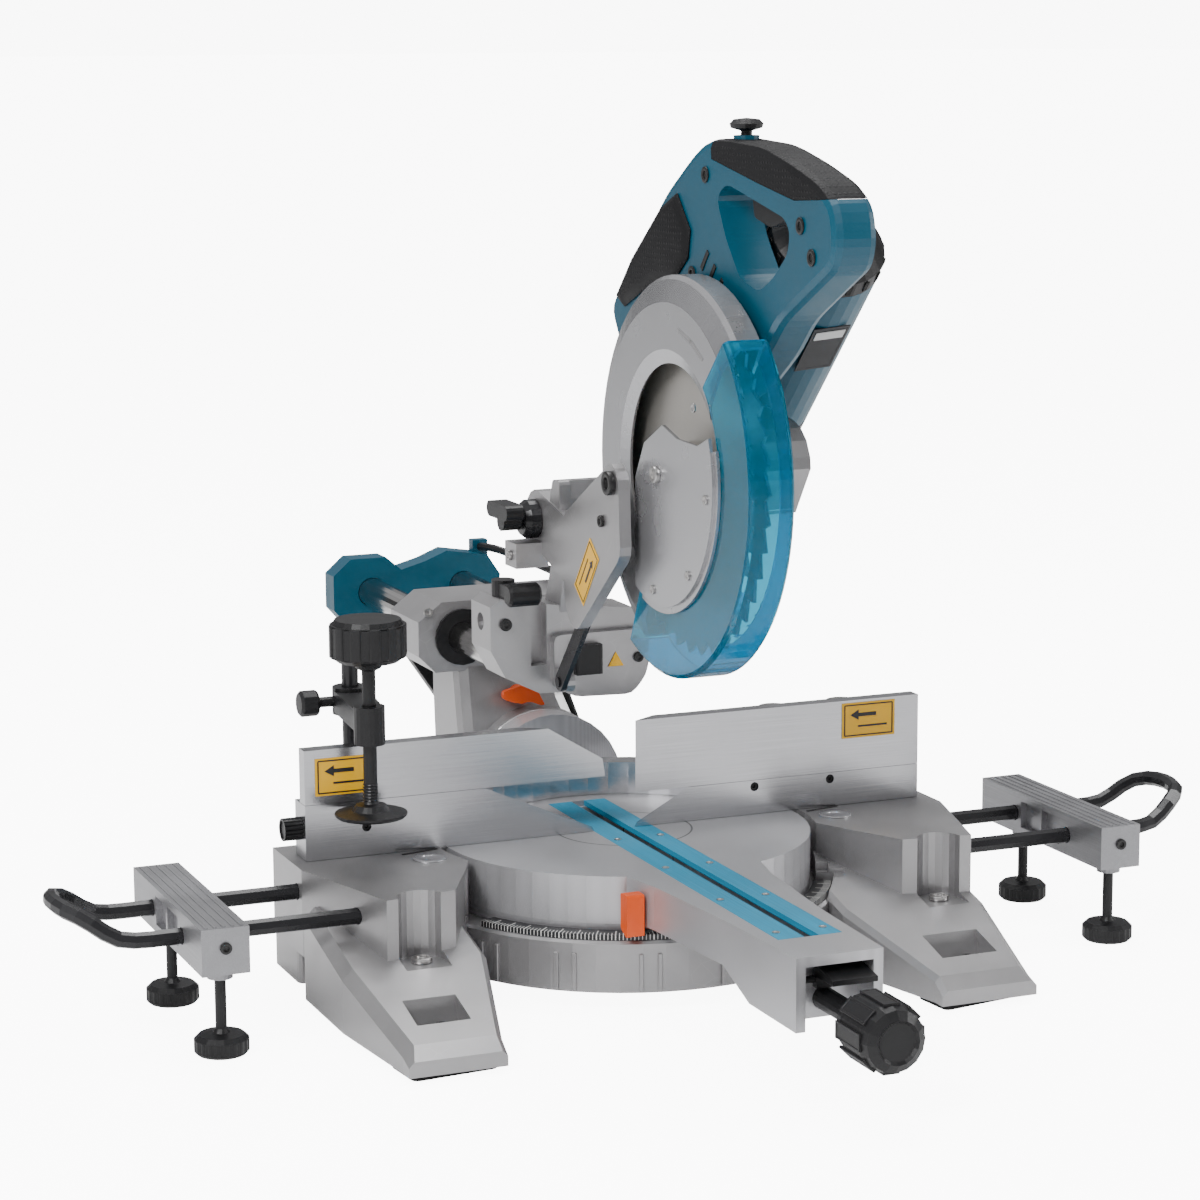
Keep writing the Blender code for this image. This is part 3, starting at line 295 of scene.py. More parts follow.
@dataclass(frozen=True)
class ScaleFinish(Finish):
    """A black ring with pale degree marks that fan out from the mitre pivot."""

    inner: float = 0.144
    outer: float = 0.158

    def pattern(self, graph: Graph, place: Socket, colour: Socket, height: Socket) -> tuple[Socket, Socket]:
        """Draw a short mark at each degree and a long one at each fifth."""
        parts = graph.add("ShaderNodeSeparateXYZ", {"Vector": place}).outputs
        angle = graph.maths("DEGREES", graph.maths("ARCTAN2", parts[0], graph.maths("MULTIPLY", parts[1], -1.0)))
        reach = graph.maths("SQRT", graph.maths("ADD", graph.maths("POWER", parts[0], 2.0),
                                                graph.maths("POWER", parts[1], 2.0)))
        marks = self.fan(graph, angle, reach, 1.0, 0.10, 0.6)
        longer = self.fan(graph, angle, reach, 5.0, 0.03, 0.25)
        both = graph.maths("MAXIMUM", marks, longer)
        return graph.blend(both, colour, (0.72, 0.72, 0.70, 1.0)), height

    def fan(self, graph: Graph, angle: Socket, reach: Socket, step: float,
            width: float, start: float) -> Socket:
        """A mask of marks at even steps.

        Args:
            graph: The material's nodes.
            angle: Degrees round the pivot.
            reach: Distance from the pivot.
            step: Degrees between marks.
            width: Half a mark's width as a share of a step.
            start: Where marks begin, as a share of the ring's width.

        Returns:
            The mask.
        """
        turn = graph.maths("PINGPONG", graph.maths("DIVIDE", angle, step), 0.5)
        near = graph.maths("LESS_THAN", turn, width)
        edge = self.inner + (self.outer - self.inner) * start
        return graph.maths("MULTIPLY", near, graph.maths("LESS_THAN", edge, reach))


@dataclass(frozen=True)
class ClearFinish(Finish):
    """Tinted see-through plastic."""

    def build(self) -> bpy.types.Material:
        """Make the material: the grained finish with light passing through it."""
        material = super().build()
        shader = material.node_tree.nodes["Principled BSDF"]
        shader.inputs["Transmission Weight"].default_value = 0.88
        shader.inputs["IOR"].default_value = 1.3
        return material


CAST = Finish("cast_silver_paint", (0.37, 0.365, 0.372), 0.33, 0.72, grain=1500.0, depth=0.20, drift=0.05)
CAST_SMOOTH = Finish("case_silver_paint", (0.42, 0.42, 0.435), 0.26, 0.72, grain=1800.0, depth=0.10, drift=0.03)
MILLED = BrushedFinish("milled_aluminium", (0.56, 0.56, 0.58), 0.24, 0.95, grain=700.0, depth=0.05, drift=0.02,
                       scuffs=0.04, lines=Axis.X)
TABLE = TurnedFinish("turned_aluminium", (0.56, 0.56, 0.58), 0.36, 0.62, grain=900.0, depth=0.08, drift=0.03,
                     scuffs=0.06, groove=0.052)
EXTRUDED = BrushedFinish("extruded_aluminium", (0.34, 0.34, 0.355), 0.38, 0.75, grain=900.0, depth=0.12,
                         lines=Axis.Y)
POLE = BrushedFinish("ground_pole_steel", (0.50, 0.49, 0.48), 0.14, 1.0, depth=0.04, drift=0.02, lines=Axis.Y)
BLADE = TurnedFinish("blade_steel", (0.46, 0.44, 0.41), 0.34, 0.75, depth=0.10, drift=0.06,
                     centre=tuple(ARBOR), axis=Axis.X, pitch=420.0)
TEAL = Finish("teal_plastic", (0.0, 0.066, 0.112), 0.40, 0.0, grain=2200.0, depth=0.16, drift=0.05, scuffs=0.15)
CYAN = BrushedFinish("cyan_kerf_plastic", (0.012, 0.30, 0.50), 0.40, 0.0, depth=0.16, drift=0.06, lines=Axis.Y,
                     fineness=700.0)
GUARD = ClearFinish("blue_guard_plastic", (0.02, 0.44, 0.66), 0.05, 0.0, grain=40.0, depth=0.02, drift=0.03,
                    scuffs=0.0)
ORANGE = Finish("orange_plastic", (0.78, 0.085, 0.004), 0.36, 0.0, grain=1800.0, depth=0.10, drift=0.06)
BLACK = Finish("black_plastic", (0.010, 0.010, 0.011), 0.40, 0.0, grain=2000.0, depth=0.20, drift=0.18,
               specular=0.35)
COATED = Finish("black_coated_steel", (0.016, 0.016, 0.018), 0.28, 0.3, grain=1300.0, depth=0.10, drift=0.15)
SOFT = DimpledFinish("soft_grip", (0.009, 0.009, 0.010), 0.60, 0.0, grain=1600.0, depth=0.35, drift=0.15,
                      specular=0.18)
# rubber for the foot pads, and painted shade in the motor cap's vents
RUBBER_AND_SHADE = Finish("rubber", (0.010, 0.010, 0.010), 0.80, 0.0, grain=1100.0, depth=0.30, drift=0.2)
SCALE = ScaleFinish("scale_ring", (0.012, 0.012, 0.014), 0.40, 0.0, grain=1500.0, depth=0.06, drift=0.1)
LABEL = Finish("yellow_label", (0.86, 0.46, 0.0), 0.34, 0.0, grain=2500.0, depth=0.03, drift=0.03, scuffs=0.1)
# black for label print and dark screws, and painted shade in holes and slots
BLACK_INK_AND_SHADE = Finish("black_ink_and_painted_shade", (0.010, 0.010, 0.010), 0.40, 0.0, grain=2500.0, depth=0.03, drift=0.1, scuffs=0.1)
PLATE = Finish("rating_plate", (0.030, 0.031, 0.034), 0.36, 0.3, grain=2500.0, depth=0.03, drift=0.04)
STRIP = Finish("plate_strip", (0.62, 0.62, 0.62), 0.36, 0.0, grain=2500.0, depth=0.03, drift=0.02)
SCREW = TurnedFinish("screw_steel", (0.52, 0.51, 0.50), 0.30, 1.0, depth=0.06, pitch=300.0)
TURNED_DISC = TurnedFinish("turned_disc", (0.70, 0.70, 0.72), 0.26, 0.9, depth=0.08, pitch=900.0)
FLOOR = Finish("studio_floor", (0.90, 0.90, 0.90), 0.80, 0.0, grain=300.0, depth=0.02, drift=0.01, scuffs=0.0)


class Paints:
    """The built materials, each made once when first asked for."""

    made: dict[str, bpy.types.Material] = {}

    @classmethod
    def of(cls, finish: Finish) -> bpy.types.Material:
        """The material of a finish."""
        if finish.name not in cls.made:
            cls.made[finish.name] = finish.build()
        return cls.made[finish.name]


NODE_FINISHES: dict[Finish, str] = {
    CAST: "base_casting bevel_arm carriage_casting head_arm gear_housing",
    CAST_SMOOTH: "blade_case centre_cover",
    MILLED: "guide_fence left_sub_fence right_sub_fence",
    TABLE: "turntable",
    EXTRUDED: "left_holder_block right_holder_block",
    POLE: "slide_pole_left slide_pole_right",
    BLADE: "blade arbor_shaft",
    TEAL: "rear_pole_holder motor_housing handle_shell",
    CYAN: "kerf_board_left kerf_board_right",
    GUARD: "blade_guard",
    ORANGE: "mitre_pointer bevel_latch_lever",
    COATED: "left_holder_rods right_holder_rods vise_rod hinge_shaft guard_link",
    SOFT: "handle_grip_pad",
    RUBBER_AND_SHADE: "foot_pad_front_left foot_pad_front_right",
    SCALE: "mitre_scale",
    SCREW: "fence_knob_1 fence_knob_2",
}


def dress_frame() -> None:
    """Give each piece of the frame its finish; what isn't listed is black plastic."""
    listed = {name: finish for finish, names in NODE_FINISHES.items() for name in names.split()}
    for name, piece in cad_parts.items():
        piece.data.materials.clear()
        piece.data.materials.append(Paints.of(listed.get(name, BLACK)))
    LOG.info("dressed %d frame pieces", len(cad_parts))


# ---------------------------------------------------------------- modelling by hand operations


def deselect() -> None:
    """Leave nothing selected and object mode on."""
    if bpy.context.object and bpy.context.object.mode != "OBJECT":
        bpy.ops.object.mode_set(mode="OBJECT")
    bpy.ops.object.select_all(action="DESELECT")


def faces_facing(piece: bpy.types.Object, direction: tuple[float, float, float], level: float = 0.9) -> None:
    """Enter face selection with only the faces that look along a direction selected.

    Args:
        piece: The active object.
        direction: The way the faces look.
        level: How closely, as a cosine.
    """
    bpy.ops.object.mode_set(mode="EDIT")
    bpy.ops.mesh.select_mode(type="FACE")
    bpy.ops.mesh.select_all(action="DESELECT")
    bpy.ops.object.mode_set(mode="OBJECT")
    aim = Vector(direction)
    for polygon in piece.data.polygons:
        polygon.select = polygon.normal.dot(aim) > level
    bpy.ops.object.mode_set(mode="EDIT")


def soften(piece: bpy.types.Object, width: float, segments: int = 2) -> None:
    """Round a piece's edges with an applied Bevel modifier and shade it.

    Args:
        piece: The active object.
        width: How far the rounding reaches.
        segments: Faces across each rounded edge.
    """
    step = piece.modifiers.new("soft_edges", "BEVEL")
    step.width = width
    step.segments = segments
    step.limit_method = "ANGLE"
    bpy.ops.object.modifier_apply(modifier=step.name)
    bpy.ops.object.shade_smooth_by_angle(angle=math.radians(34))


def place_piece(piece: bpy.types.Object, name: str, body: str, finish: Finish) -> bpy.types.Object:
    """Bake a piece's place into its mesh, name it, dress it and hang it on its body.

    Args:
        piece: The modelled piece.
        name: Its new name.
        body: The body that it moves with.
        finish: Its finish.

    Returns:
        The same piece.
    """
    deselect()
    piece.select_set(True)
    bpy.context.view_layer.objects.active = piece
    bpy.ops.object.transform_apply(location=True, rotation=True, scale=True)
    piece.name = name
    piece.data.materials.clear()
    piece.data.materials.append(Paints.of(finish))
    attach(piece, body)
    deselect()
    return piece


def cap_cylinder(start: Vector, end: Vector, radius: float, sides: int) -> bpy.types.Object:
    """Add a cylinder between two points, with its local Z from start to end.

    Args:
        start: The middle of its first end.
        end: The middle of its second end.
        radius: Its radius.
        sides: How many sides it has.

    Returns:
        The new object.
    """
    deselect()
    aim = Vector(end) - Vector(start)
    turn = aim.to_track_quat("Z", "Y").to_euler()
    bpy.ops.mesh.primitive_cylinder_add(vertices=sides, radius=radius, depth=aim.length,
                                        location=(Vector(start) + Vector(end)) / 2, rotation=turn)
    return bpy.context.object


@dataclass(frozen=True)
class Screw:
    """A screw or rivet head with a sunk socket or a plain dished top."""

    radius: float
    height: float
    sides: int = 24
    sunk: float = 0.5             # socket depth as a share of the height

    def model(self, foot: Vector, direction: Vector) -> bpy.types.Object:
        """Model one head.

        Args:
            foot: The middle of its underside.
            direction: The way its top faces.

        Returns:
            The head, selected and active.
        """
        foot, direction = Vector(foot), Vector(direction).normalized()
        piece = cap_cylinder(foot, foot + direction * self.height, self.radius, self.sides)
        faces_facing(piece, (0, 0, 1))
        bpy.ops.mesh.inset(thickness=self.radius * 0.5)
        bpy.ops.mesh.extrude_region_move(TRANSFORM_OT_translate={
            "value": tuple(-direction * self.height * self.sunk)})
        bpy.ops.object.mode_set(mode="OBJECT")
        soften(piece, self.radius * 0.10, 2)
        return piece


def face_turn(along: Vector, out: Vector) -> Matrix:
    """The turn that lays local X along one direction and points local Z outwards."""
    return Matrix((along, out.cross(along), out)).transposed().to_4x4()


@dataclass(frozen=True)
class FlatPlate:
    """A thin plate with round corners and a shallow raised border."""

    size: tuple[float, float, float]
    border: float = 0.0

    def model(self, centre: Vector, turn: tuple[float, float, float] = (0.0, 0.0, 0.0)) -> bpy.types.Object:
        """Model one plate whose local Z is its face.

        Args:
            centre: Its middle.
            turn: Its rotation, in degrees.

        Returns:
            The plate.
        """
        deselect()
        bpy.ops.mesh.primitive_cube_add(size=1.0, location=Vector(centre),
                                        rotation=[math.radians(part) for part in turn])
        piece = bpy.context.object
        piece.scale = self.size
        bpy.ops.object.transform_apply(location=False, rotation=False, scale=True)
        faces_facing(piece, (0, 0, 1))
        bpy.ops.mesh.inset(thickness=self.border or min(self.size[:2]) * 0.06)
        sunk = piece.matrix_world.to_3x3() @ Vector((0, 0, -self.size[2] * 0.2))
        bpy.ops.mesh.extrude_region_move(TRANSFORM_OT_translate={"value": tuple(sunk)})
        bpy.ops.object.mode_set(mode="OBJECT")
        soften(piece, min(self.size) * 0.3, 1)
        return piece

    def stand(self, centre: Vector, along: Vector, out: Vector) -> bpy.types.Object:
        """Model one plate against a surface.

        Args:
            centre: Its middle.
            along: The direction of its first side.
            out: The way that its face looks.

        Returns:
            The plate.
        """
        piece = self.model(Vector())
        piece.matrix_world = Matrix.Translation(centre) @ face_turn(along, out)
        return piece


@dataclass(frozen=True)
class KnurledKnob:
    """A round knob with flutes cut into its rim."""

    radius: float
    height: float
    flutes: int
    depth: float

    def model(self, foot: Vector, direction: Vector) -> bpy.types.Object:
        """Model a knob: every second strip of its rim is pushed in.

        Args:
            foot: The middle of its underside.
            direction: The way its top faces.

        Returns:
            The knob.
        """
        foot, direction = Vector(foot), Vector(direction).normalized()
        piece = cap_cylinder(foot, foot + direction * self.height, self.radius, self.flutes * 4)
        faces_facing(piece, (0, 0, 1))
        bpy.ops.mesh.inset(thickness=self.radius * 0.22)
        bpy.ops.mesh.extrude_region_move(TRANSFORM_OT_translate={"value": tuple(-direction * self.height * 0.08)})
        bpy.ops.mesh.select_all(action="DESELECT")
        bpy.ops.object.mode_set(mode="OBJECT")
        sides = [p for p in piece.data.polygons if abs(p.normal.z) < 0.1 and len(p.vertices) == 4
                 and Vector(p.center[:2]).length > self.radius * 0.9]
        for polygon in piece.data.polygons:
            polygon.select = False
        for polygon in sides:
            turn = math.atan2(polygon.center.y, polygon.center.x) / (2 * math.pi) * self.flutes
            polygon.select = (turn % 1.0) < 0.5
        bpy.ops.object.mode_set(mode="EDIT")
        bpy.ops.mesh.inset(thickness=self.depth * 0.5, use_individual=False)
        bpy.ops.transform.shrink_fatten(value=-self.depth)
        bpy.ops.object.mode_set(mode="OBJECT")
        soften(piece, self.depth * 0.3, 1)
        return piece


def join_as_one(pieces: list[bpy.types.Object]) -> bpy.types.Object:
    """Join several loose pieces.

    Args:
        pieces: The pieces; the first one takes in the others.

    Returns:
        The joined piece.
    """
    deselect()
    for piece in pieces:
        piece.select_set(True)
    bpy.context.view_layer.objects.active = pieces[0]
    bpy.ops.object.join()
    return bpy.context.object


def ring_of(count: int, radius: float, centre: Vector, axis: Vector) -> list[tuple[Vector, Vector]]:
    """Evenly spaced places round an axis.

    Args:
        count: How many places.
        radius: Their distance from the axis.
        centre: A point on the axis.
        axis: The axis's direction.

    Returns:
        Each place with the outward direction there.
    """
    aim = Vector(axis).normalized()
    side = aim.orthogonal().normalized()
    places = []
    for k in range(count):
        out = Matrix.Rotation(2 * math.pi * k / count, 3, aim) @ side
        places.append((Vector(centre) + out * radius, out))
    return places


# ---------------------------------------------------------------- the saw's sub-assemblies


@dataclass
class WarningLabel:
    """A yellow sticker with a ruled border and a plain arrow over a bar, and no lettering."""

    name: str
    centre: Vector
    across: Vector                # along the label's long side
    out: Vector                   # the way the label faces
    size: tuple[float, float]
    body: str
    film: float = 0.0003          # thickness of the sticker and of its print
    sticker_lift: float = 0.0002
    print_lift: float = 0.0004

    def spot(self, along: float, up: float, lift: float) -> Vector:
        """A point on or over the label.

        Args:
            along: Share of half the length, from the middle.
            up: Share of half the height, from the middle.
            lift: Height over the surface.

        Returns:
            The point.
        """
        rise = self.out.cross(self.across).normalized()
        return (self.centre + self.across.normalized() * along * self.size[0] / 2
                + rise * up * self.size[1] / 2 + self.out.normalized() * lift)

    def flat(self, along: float, up: float, size: tuple[float, float], lift: float) -> bpy.types.Object:
        """A thin plate at a spot on the label, of a given length and height."""
        return FlatPlate((*size, self.film)).stand(self.spot(along, up, lift), self.across.normalized(),
                                                   self.out.normalized())

    def build(self) -> None:
        """Model the sticker and its printed marks."""
        wide, tall = self.size
        place_piece(self.flat(0, 0, self.size, self.sticker_lift), self.name, self.body, LABEL)
        thin = min(wide, tall) * 0.035
        border_and_arrow = [(0, 0.86, (wide * 0.9, thin)), (0, -0.86, (wide * 0.9, thin)),
                            (0.9, 0, (thin, tall * 0.86)), (-0.9, 0, (thin, tall * 0.86)),
                            (0.15, -0.35, (wide * 0.55, thin * 1.5)), (-0.05, 0.30, (wide * 0.34, thin * 3.0))]
        marks = [self.flat(along, up, size, self.print_lift) for along, up, size in border_and_arrow]
        marks.append(self.arrow_head(tall))
        place_piece(join_as_one(marks), self.name + "_marks", self.body, BLACK_INK_AND_SHADE)


    def arrow_head(self, tall: float) -> bpy.types.Object:
        """The arrow's three-cornered tip, for a label of the given height."""
        deselect()
        bpy.ops.mesh.primitive_cylinder_add(vertices=3, radius=tall * 0.17, depth=self.film)
        head = bpy.context.object
        faces_facing(head, (0, 0, 1))
        bpy.ops.mesh.inset(thickness=tall * 0.02)
        bpy.ops.object.mode_set(mode="OBJECT")
        rise = self.out.cross(self.across).normalized()
        head.matrix_world = Matrix.Translation(self.spot(-0.48, 0.30, self.print_lift)) @ face_turn(rise, self.out)
        return head


@dataclass
class BaseDetails:
    """What shows on the base and table: the skirt's ribs, the wing insets and the screws."""

    rim_radius: float = 0.161
    rib_angles: tuple[int, ...] = (-150, -128, -106, -84, -62, -40)
    rib_size: tuple[float, float, float] = (0.0024, 0.0032, 0.028)
    rib_spread: float = 2.4       # half the angle between a pair of ribs, in degrees
    skirt_middle: float = 0.029
    insets: tuple[tuple[float, float], ...] = ((-0.166, -0.027), (0.166, -0.027))
    table_z: float = 0.095
    well_screws: tuple[tuple[float, float, float], ...] = ((-0.206, -0.122, 0.0472), (0.206, -0.122, 0.0472))
    foot_holes: tuple[tuple[float, float, float], ...] = ((-0.234, -0.190, 0.0192), (-0.215, -0.188, 0.0192),
                                                          (0.176, -0.190, 0.0192), (0.195, -0.188, 0.0192))
    board_screw_x: float = 0.0175
    board_screw_rows: tuple[float, ...] = (-0.305, -0.215, -0.120, -0.030)

    def ribs(self) -> None:
        """Pairs of upright ribs on the skirt's front."""
        pieces = []
        for middle in self.rib_angles:
            for offset in (-self.rib_spread, self.rib_spread):
                turn = math.radians(middle + offset)
                reach = self.rim_radius + self.rib_size[0] / 4
                deselect()
                bpy.ops.mesh.primitive_cube_add(size=1.0, rotation=(0, 0, turn), location=(
                    math.cos(turn) * reach, math.sin(turn) * reach, self.skirt_middle))
                rib = bpy.context.object
                rib.scale = self.rib_size
                bpy.ops.object.transform_apply(location=False, rotation=False, scale=True)
                faces_facing(rib, (1, 0, 0))
                bpy.ops.mesh.inset(thickness=0.0006)
                bpy.ops.object.mode_set(mode="OBJECT")
                soften(rib, 0.0005, 1)
                pieces.append(rib)
        place_piece(join_as_one(pieces), "skirt_ribs", "base", CAST)

    def wing_insets(self) -> None:
        """A round milled inset on each wing, with a thin black strip beside it that is the painted shade of a slot.
        """
        for number, (x, y) in enumerate(self.insets, 1):
            top = Vector((x, y, self.table_z + 0.0001))
            piece = Screw(0.0125, 0.0010, 40, 0.4).model(top, Vector((0, 0, 1)))
            place_piece(piece, f"wing_inset_{number}", "base", TURNED_DISC)
            # painted shade: the black strip stands in for the shade inside a slot
            mark = FlatPlate((0.030, 0.0022, 0.0005)).model(top + Vector((0.0, 0.022, 0.0002)), (0, 0, 12))
            place_piece(mark, f"wing_slot_mark_{number}", "base", BLACK_INK_AND_SHADE)

    def bolts(self) -> None:
        """A socket screw in each tower's well and two holes in each front foot, painted black as the shade inside
        them.
        """
        heads = [(spot, 0.0075, SCREW, "steel") for spot in self.well_screws]
        # painted shade: the foot holes are black discs that stand in for the shade inside the holes
        heads += [(spot, 0.0042, BLACK_INK_AND_SHADE, "black") for spot in self.foot_holes]
        for number, (spot, radius, finish, slot) in enumerate(heads, 1):
            piece = Screw(radius, 0.0036).model(Vector(spot), Vector((0, 0, 1)))
            place_piece(piece, f"base_screw_{number}", "base", finish)

    def table_screws(self) -> None:
        """Countersunk screws along the kerf boards."""
        places = [(side * self.board_screw_x, y) for y in self.board_screw_rows for side in (-1, 1)]
        for number, (x, y) in enumerate(places, 1):
            piece = Screw(0.0028, 0.0006, 20, 0.8).model(Vector((x, y, self.table_z)), Vector((0, 0, 1)))
            place_piece(piece, f"board_screw_{number}", "turntable", SCREW)

    def build(self) -> None:
        """Model all of them."""
        self.ribs()
        self.wing_insets()
        self.bolts()
        self.table_screws()


@dataclass
class FenceDetails:
    """The fence's labels, screws and thumb screw."""

    label_size: tuple[float, float] = (0.046, 0.028)
    left_label: tuple[float, float] = (-0.221, 0.1575)      # x and z on the fence's face
    right_label: tuple[float, float] = (0.208, 0.162)
    screw_x: tuple[float, ...] = (-0.205, 0.110, 0.175)
    screw_z: float = 0.117

    def build(self) -> None:
        """Model them."""
        front = Vector((0, -1, 0))
        for word, (x, z) in (("left", self.left_label), ("right", self.right_label)):
            WarningLabel(f"{word}_fence_label", Vector((x, -0.0002, z)), Vector((1, 0, 0)), front, self.label_size,
                         f"{word}_sub_fence").build()
        for number, x in enumerate(self.screw_x, 1):
            piece = Screw(0.0034, 0.0030, 20, 0.7).model(Vector((x, 0.0046, self.screw_z)), front)
            place_piece(piece, f"fence_screw_{number}", "base", BLACK_INK_AND_SHADE)
        screw = KnurledKnob(0.0085, 0.014, 16, 0.0012).model(Vector((-0.2522, 0.012, 0.118)), Vector((-1, 0, 0)))
        place_piece(screw, "fence_thumb_screw", "base", BLACK)


@dataclass
class HolderDetails:
    """Ridges, end screws and knurled feet on the pull-out workpiece holders."""

    ridge_pitch: float = 0.0062
    end_screw_z: float = 0.079

    def build(self) -> None:
        """Model both holders' details."""
        for word in ("left", "right"):
            low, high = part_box(f"{word}_holder_block")
            middle = (low + high) / 2
            ridges = []
            for step in range(-2, 3):
                rib = FlatPlate((0.0022, high.y - low.y - 0.006, 0.0008)).model(
                    Vector((middle.x + step * self.ridge_pitch, middle.y, high.z + 0.0002)))
                ridges.append(rib)
            place_piece(join_as_one(ridges), f"{word}_holder_ridges", f"{word}_holder", EXTRUDED)
            end = Vector((middle.x, low.y + 0.0001, self.end_screw_z))
            screw = Screw(0.0042, 0.0020, 24, 0.8).model(end, Vector((0, -1, 0)))
            place_piece(screw, f"{word}_holder_end_screw", f"{word}_holder", BLACK_INK_AND_SHADE)
            for place in ("front", "rear"):
                low_foot, high_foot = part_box(f"{word}_{place}_foot")
                centre = Vector(((low_foot.x + high_foot.x) / 2, (low_foot.y + high_foot.y) / 2, 0.0022))
                cup = KnurledKnob(0.0192, 0.0088, 20, 0.0009).model(centre, Vector((0, 0, 1)))
                place_piece(cup, f"{word}_{place}_foot_knurl", f"{word}_{place}_foot", BLACK)


@dataclass
class ViseDetails:
    """The vise's fluted knob and its screw thread."""

    screw: tuple[float, float] = (-0.211, -0.029)
    plate_z: float = 0.132
    thread_turns: int = 6
    thread_pitch: float = 0.0023

    def build(self) -> None:
        """Model the knob's fluted rim and the thread's rings."""
        x, y = self.screw
        knob = KnurledKnob(0.0282, 0.024, 12, 0.0024).model(Vector((x, y, self.plate_z + 0.1185)), Vector((0, 0, 1)))
        place_piece(knob, "vise_knob_flutes", "vise_spindle", BLACK)
        low = self.plate_z + 0.0125
        rings = []
        for turn in range(self.thread_turns):
            deselect()
            bpy.ops.mesh.primitive_torus_add(location=(x, y, low + turn * self.thread_pitch),
                                             major_radius=0.0050,
                                             minor_radius=0.0007, major_segments=20, minor_segments=6)
            rings.append(bpy.context.object)
        place_piece(join_as_one(rings), "vise_thread", "vise_spindle", COATED)


@dataclass
class GripDetails:
    """The turning grip's raised flats."""

    axis_z: float = 0.058
    front_y: float = -0.450
    pad_size: tuple[float, float, float] = (0.0120, 0.034, 0.0022)

    def build(self) -> None:
        """Model eight raised pads round the grip."""
        pads = []
        grip_axis = Vector((0, 1, 0))
        centre = Vector((0, self.front_y + 0.027, self.axis_z))
        for place, out in ring_of(8, 0.0226, centre, grip_axis):
            pads.append(FlatPlate(self.pad_size, 0.0015).stand(place, grip_axis.cross(out), out))
        place_piece(join_as_one(pads), "grip_pads", "mitre_grip", BLACK)


@dataclass
class NeckDetails:
    """Bolts, a warning sign and a label on the neck, the poles' housing, the carriage and the cheek."""

    housing_front_y: float = 0.1978
    housing_screw_x: tuple[float, ...] = (-0.086, 0.056, -0.015)
    housing_screw_z: float = 0.236
    pole_x: tuple[float, float] = (-0.057, 0.027)
    pole_z: float = 0.214
    pole_rear_y: float = 0.450
    carriage_front_y: float = 0.0618
    cheek_x: float = -0.0452
    label_size: tuple[float, float] = (0.050, 0.022)

    def screws(self) -> None:
        """Heads that show from the front, the left and the back."""
        front, back, left = (0, -1, 0), (0, 1, 0), (-1, 0, 0)
        steel = (SCREW, "steel")
        dark = (BLACK_INK_AND_SHADE, "black")
        heads = [(f"housing_screw_{number}", "bevel_arm", (x, self.housing_front_y, self.housing_screw_z), front,
                  0.0038, steel) for number, x in enumerate(self.housing_screw_x, 1)]
        heads += [(f"holder_screw_{number}", "carriage", (x, self.pole_rear_y, self.pole_z), back, 0.0060, steel)
                  for number, x in enumerate(self.pole_x, 1)]
        heads += [
            ("carriage_screw_1", "carriage", (0.039, self.carriage_front_y, 0.214), front, 0.0040, dark),
            ("carriage_screw_2", "carriage", (0.038, self.carriage_front_y, 0.228), front, 0.0030, dark),
            ("carriage_screw_3", "carriage", (-0.068, 0.0698, 0.246), front, 0.0048, dark),
            ("bracket_screw", "head", (-0.0662, 0.062, 0.301), left, 0.0040, steel),
            ("cheek_bolt", "head", (self.cheek_x, -0.088, 0.374), left, 0.0088, dark),
            ("cheek_screw", "head", (self.cheek_x, -0.070, 0.344), left, 0.0044, dark),
        ]
        for name, body, foot, direction, radius, (finish, slot) in heads:
            piece = Screw(radius, radius * 0.55).model(Vector(foot), Vector(direction))
            place_piece(piece, name, body, finish)

    def warning_sign(self) -> None:
        """A small yellow three-cornered sign beside the laser."""
        sign = Screw(0.0075, 0.0006, 3, 0.3).model(Vector((0.020, 0.0617, 0.212)), Vector((0, -1, 0)))
        place_piece(sign, "laser_sign", "carriage", LABEL)

    def cheek_label(self) -> None:
        """The yellow sticker on the left cheek, in line with the cheek's front edge."""
        along = Vector((0, 0.036, -0.046)).normalized()
        WarningLabel("cheek_label", Vector((-0.0451, -0.040, 0.302)), along, Vector((-1, 0, 0)), self.label_size,
                     "head").build()

    def build(self) -> None:
        """Model all of them."""
        self.screws()
        self.warning_sign()
        self.cheek_label()


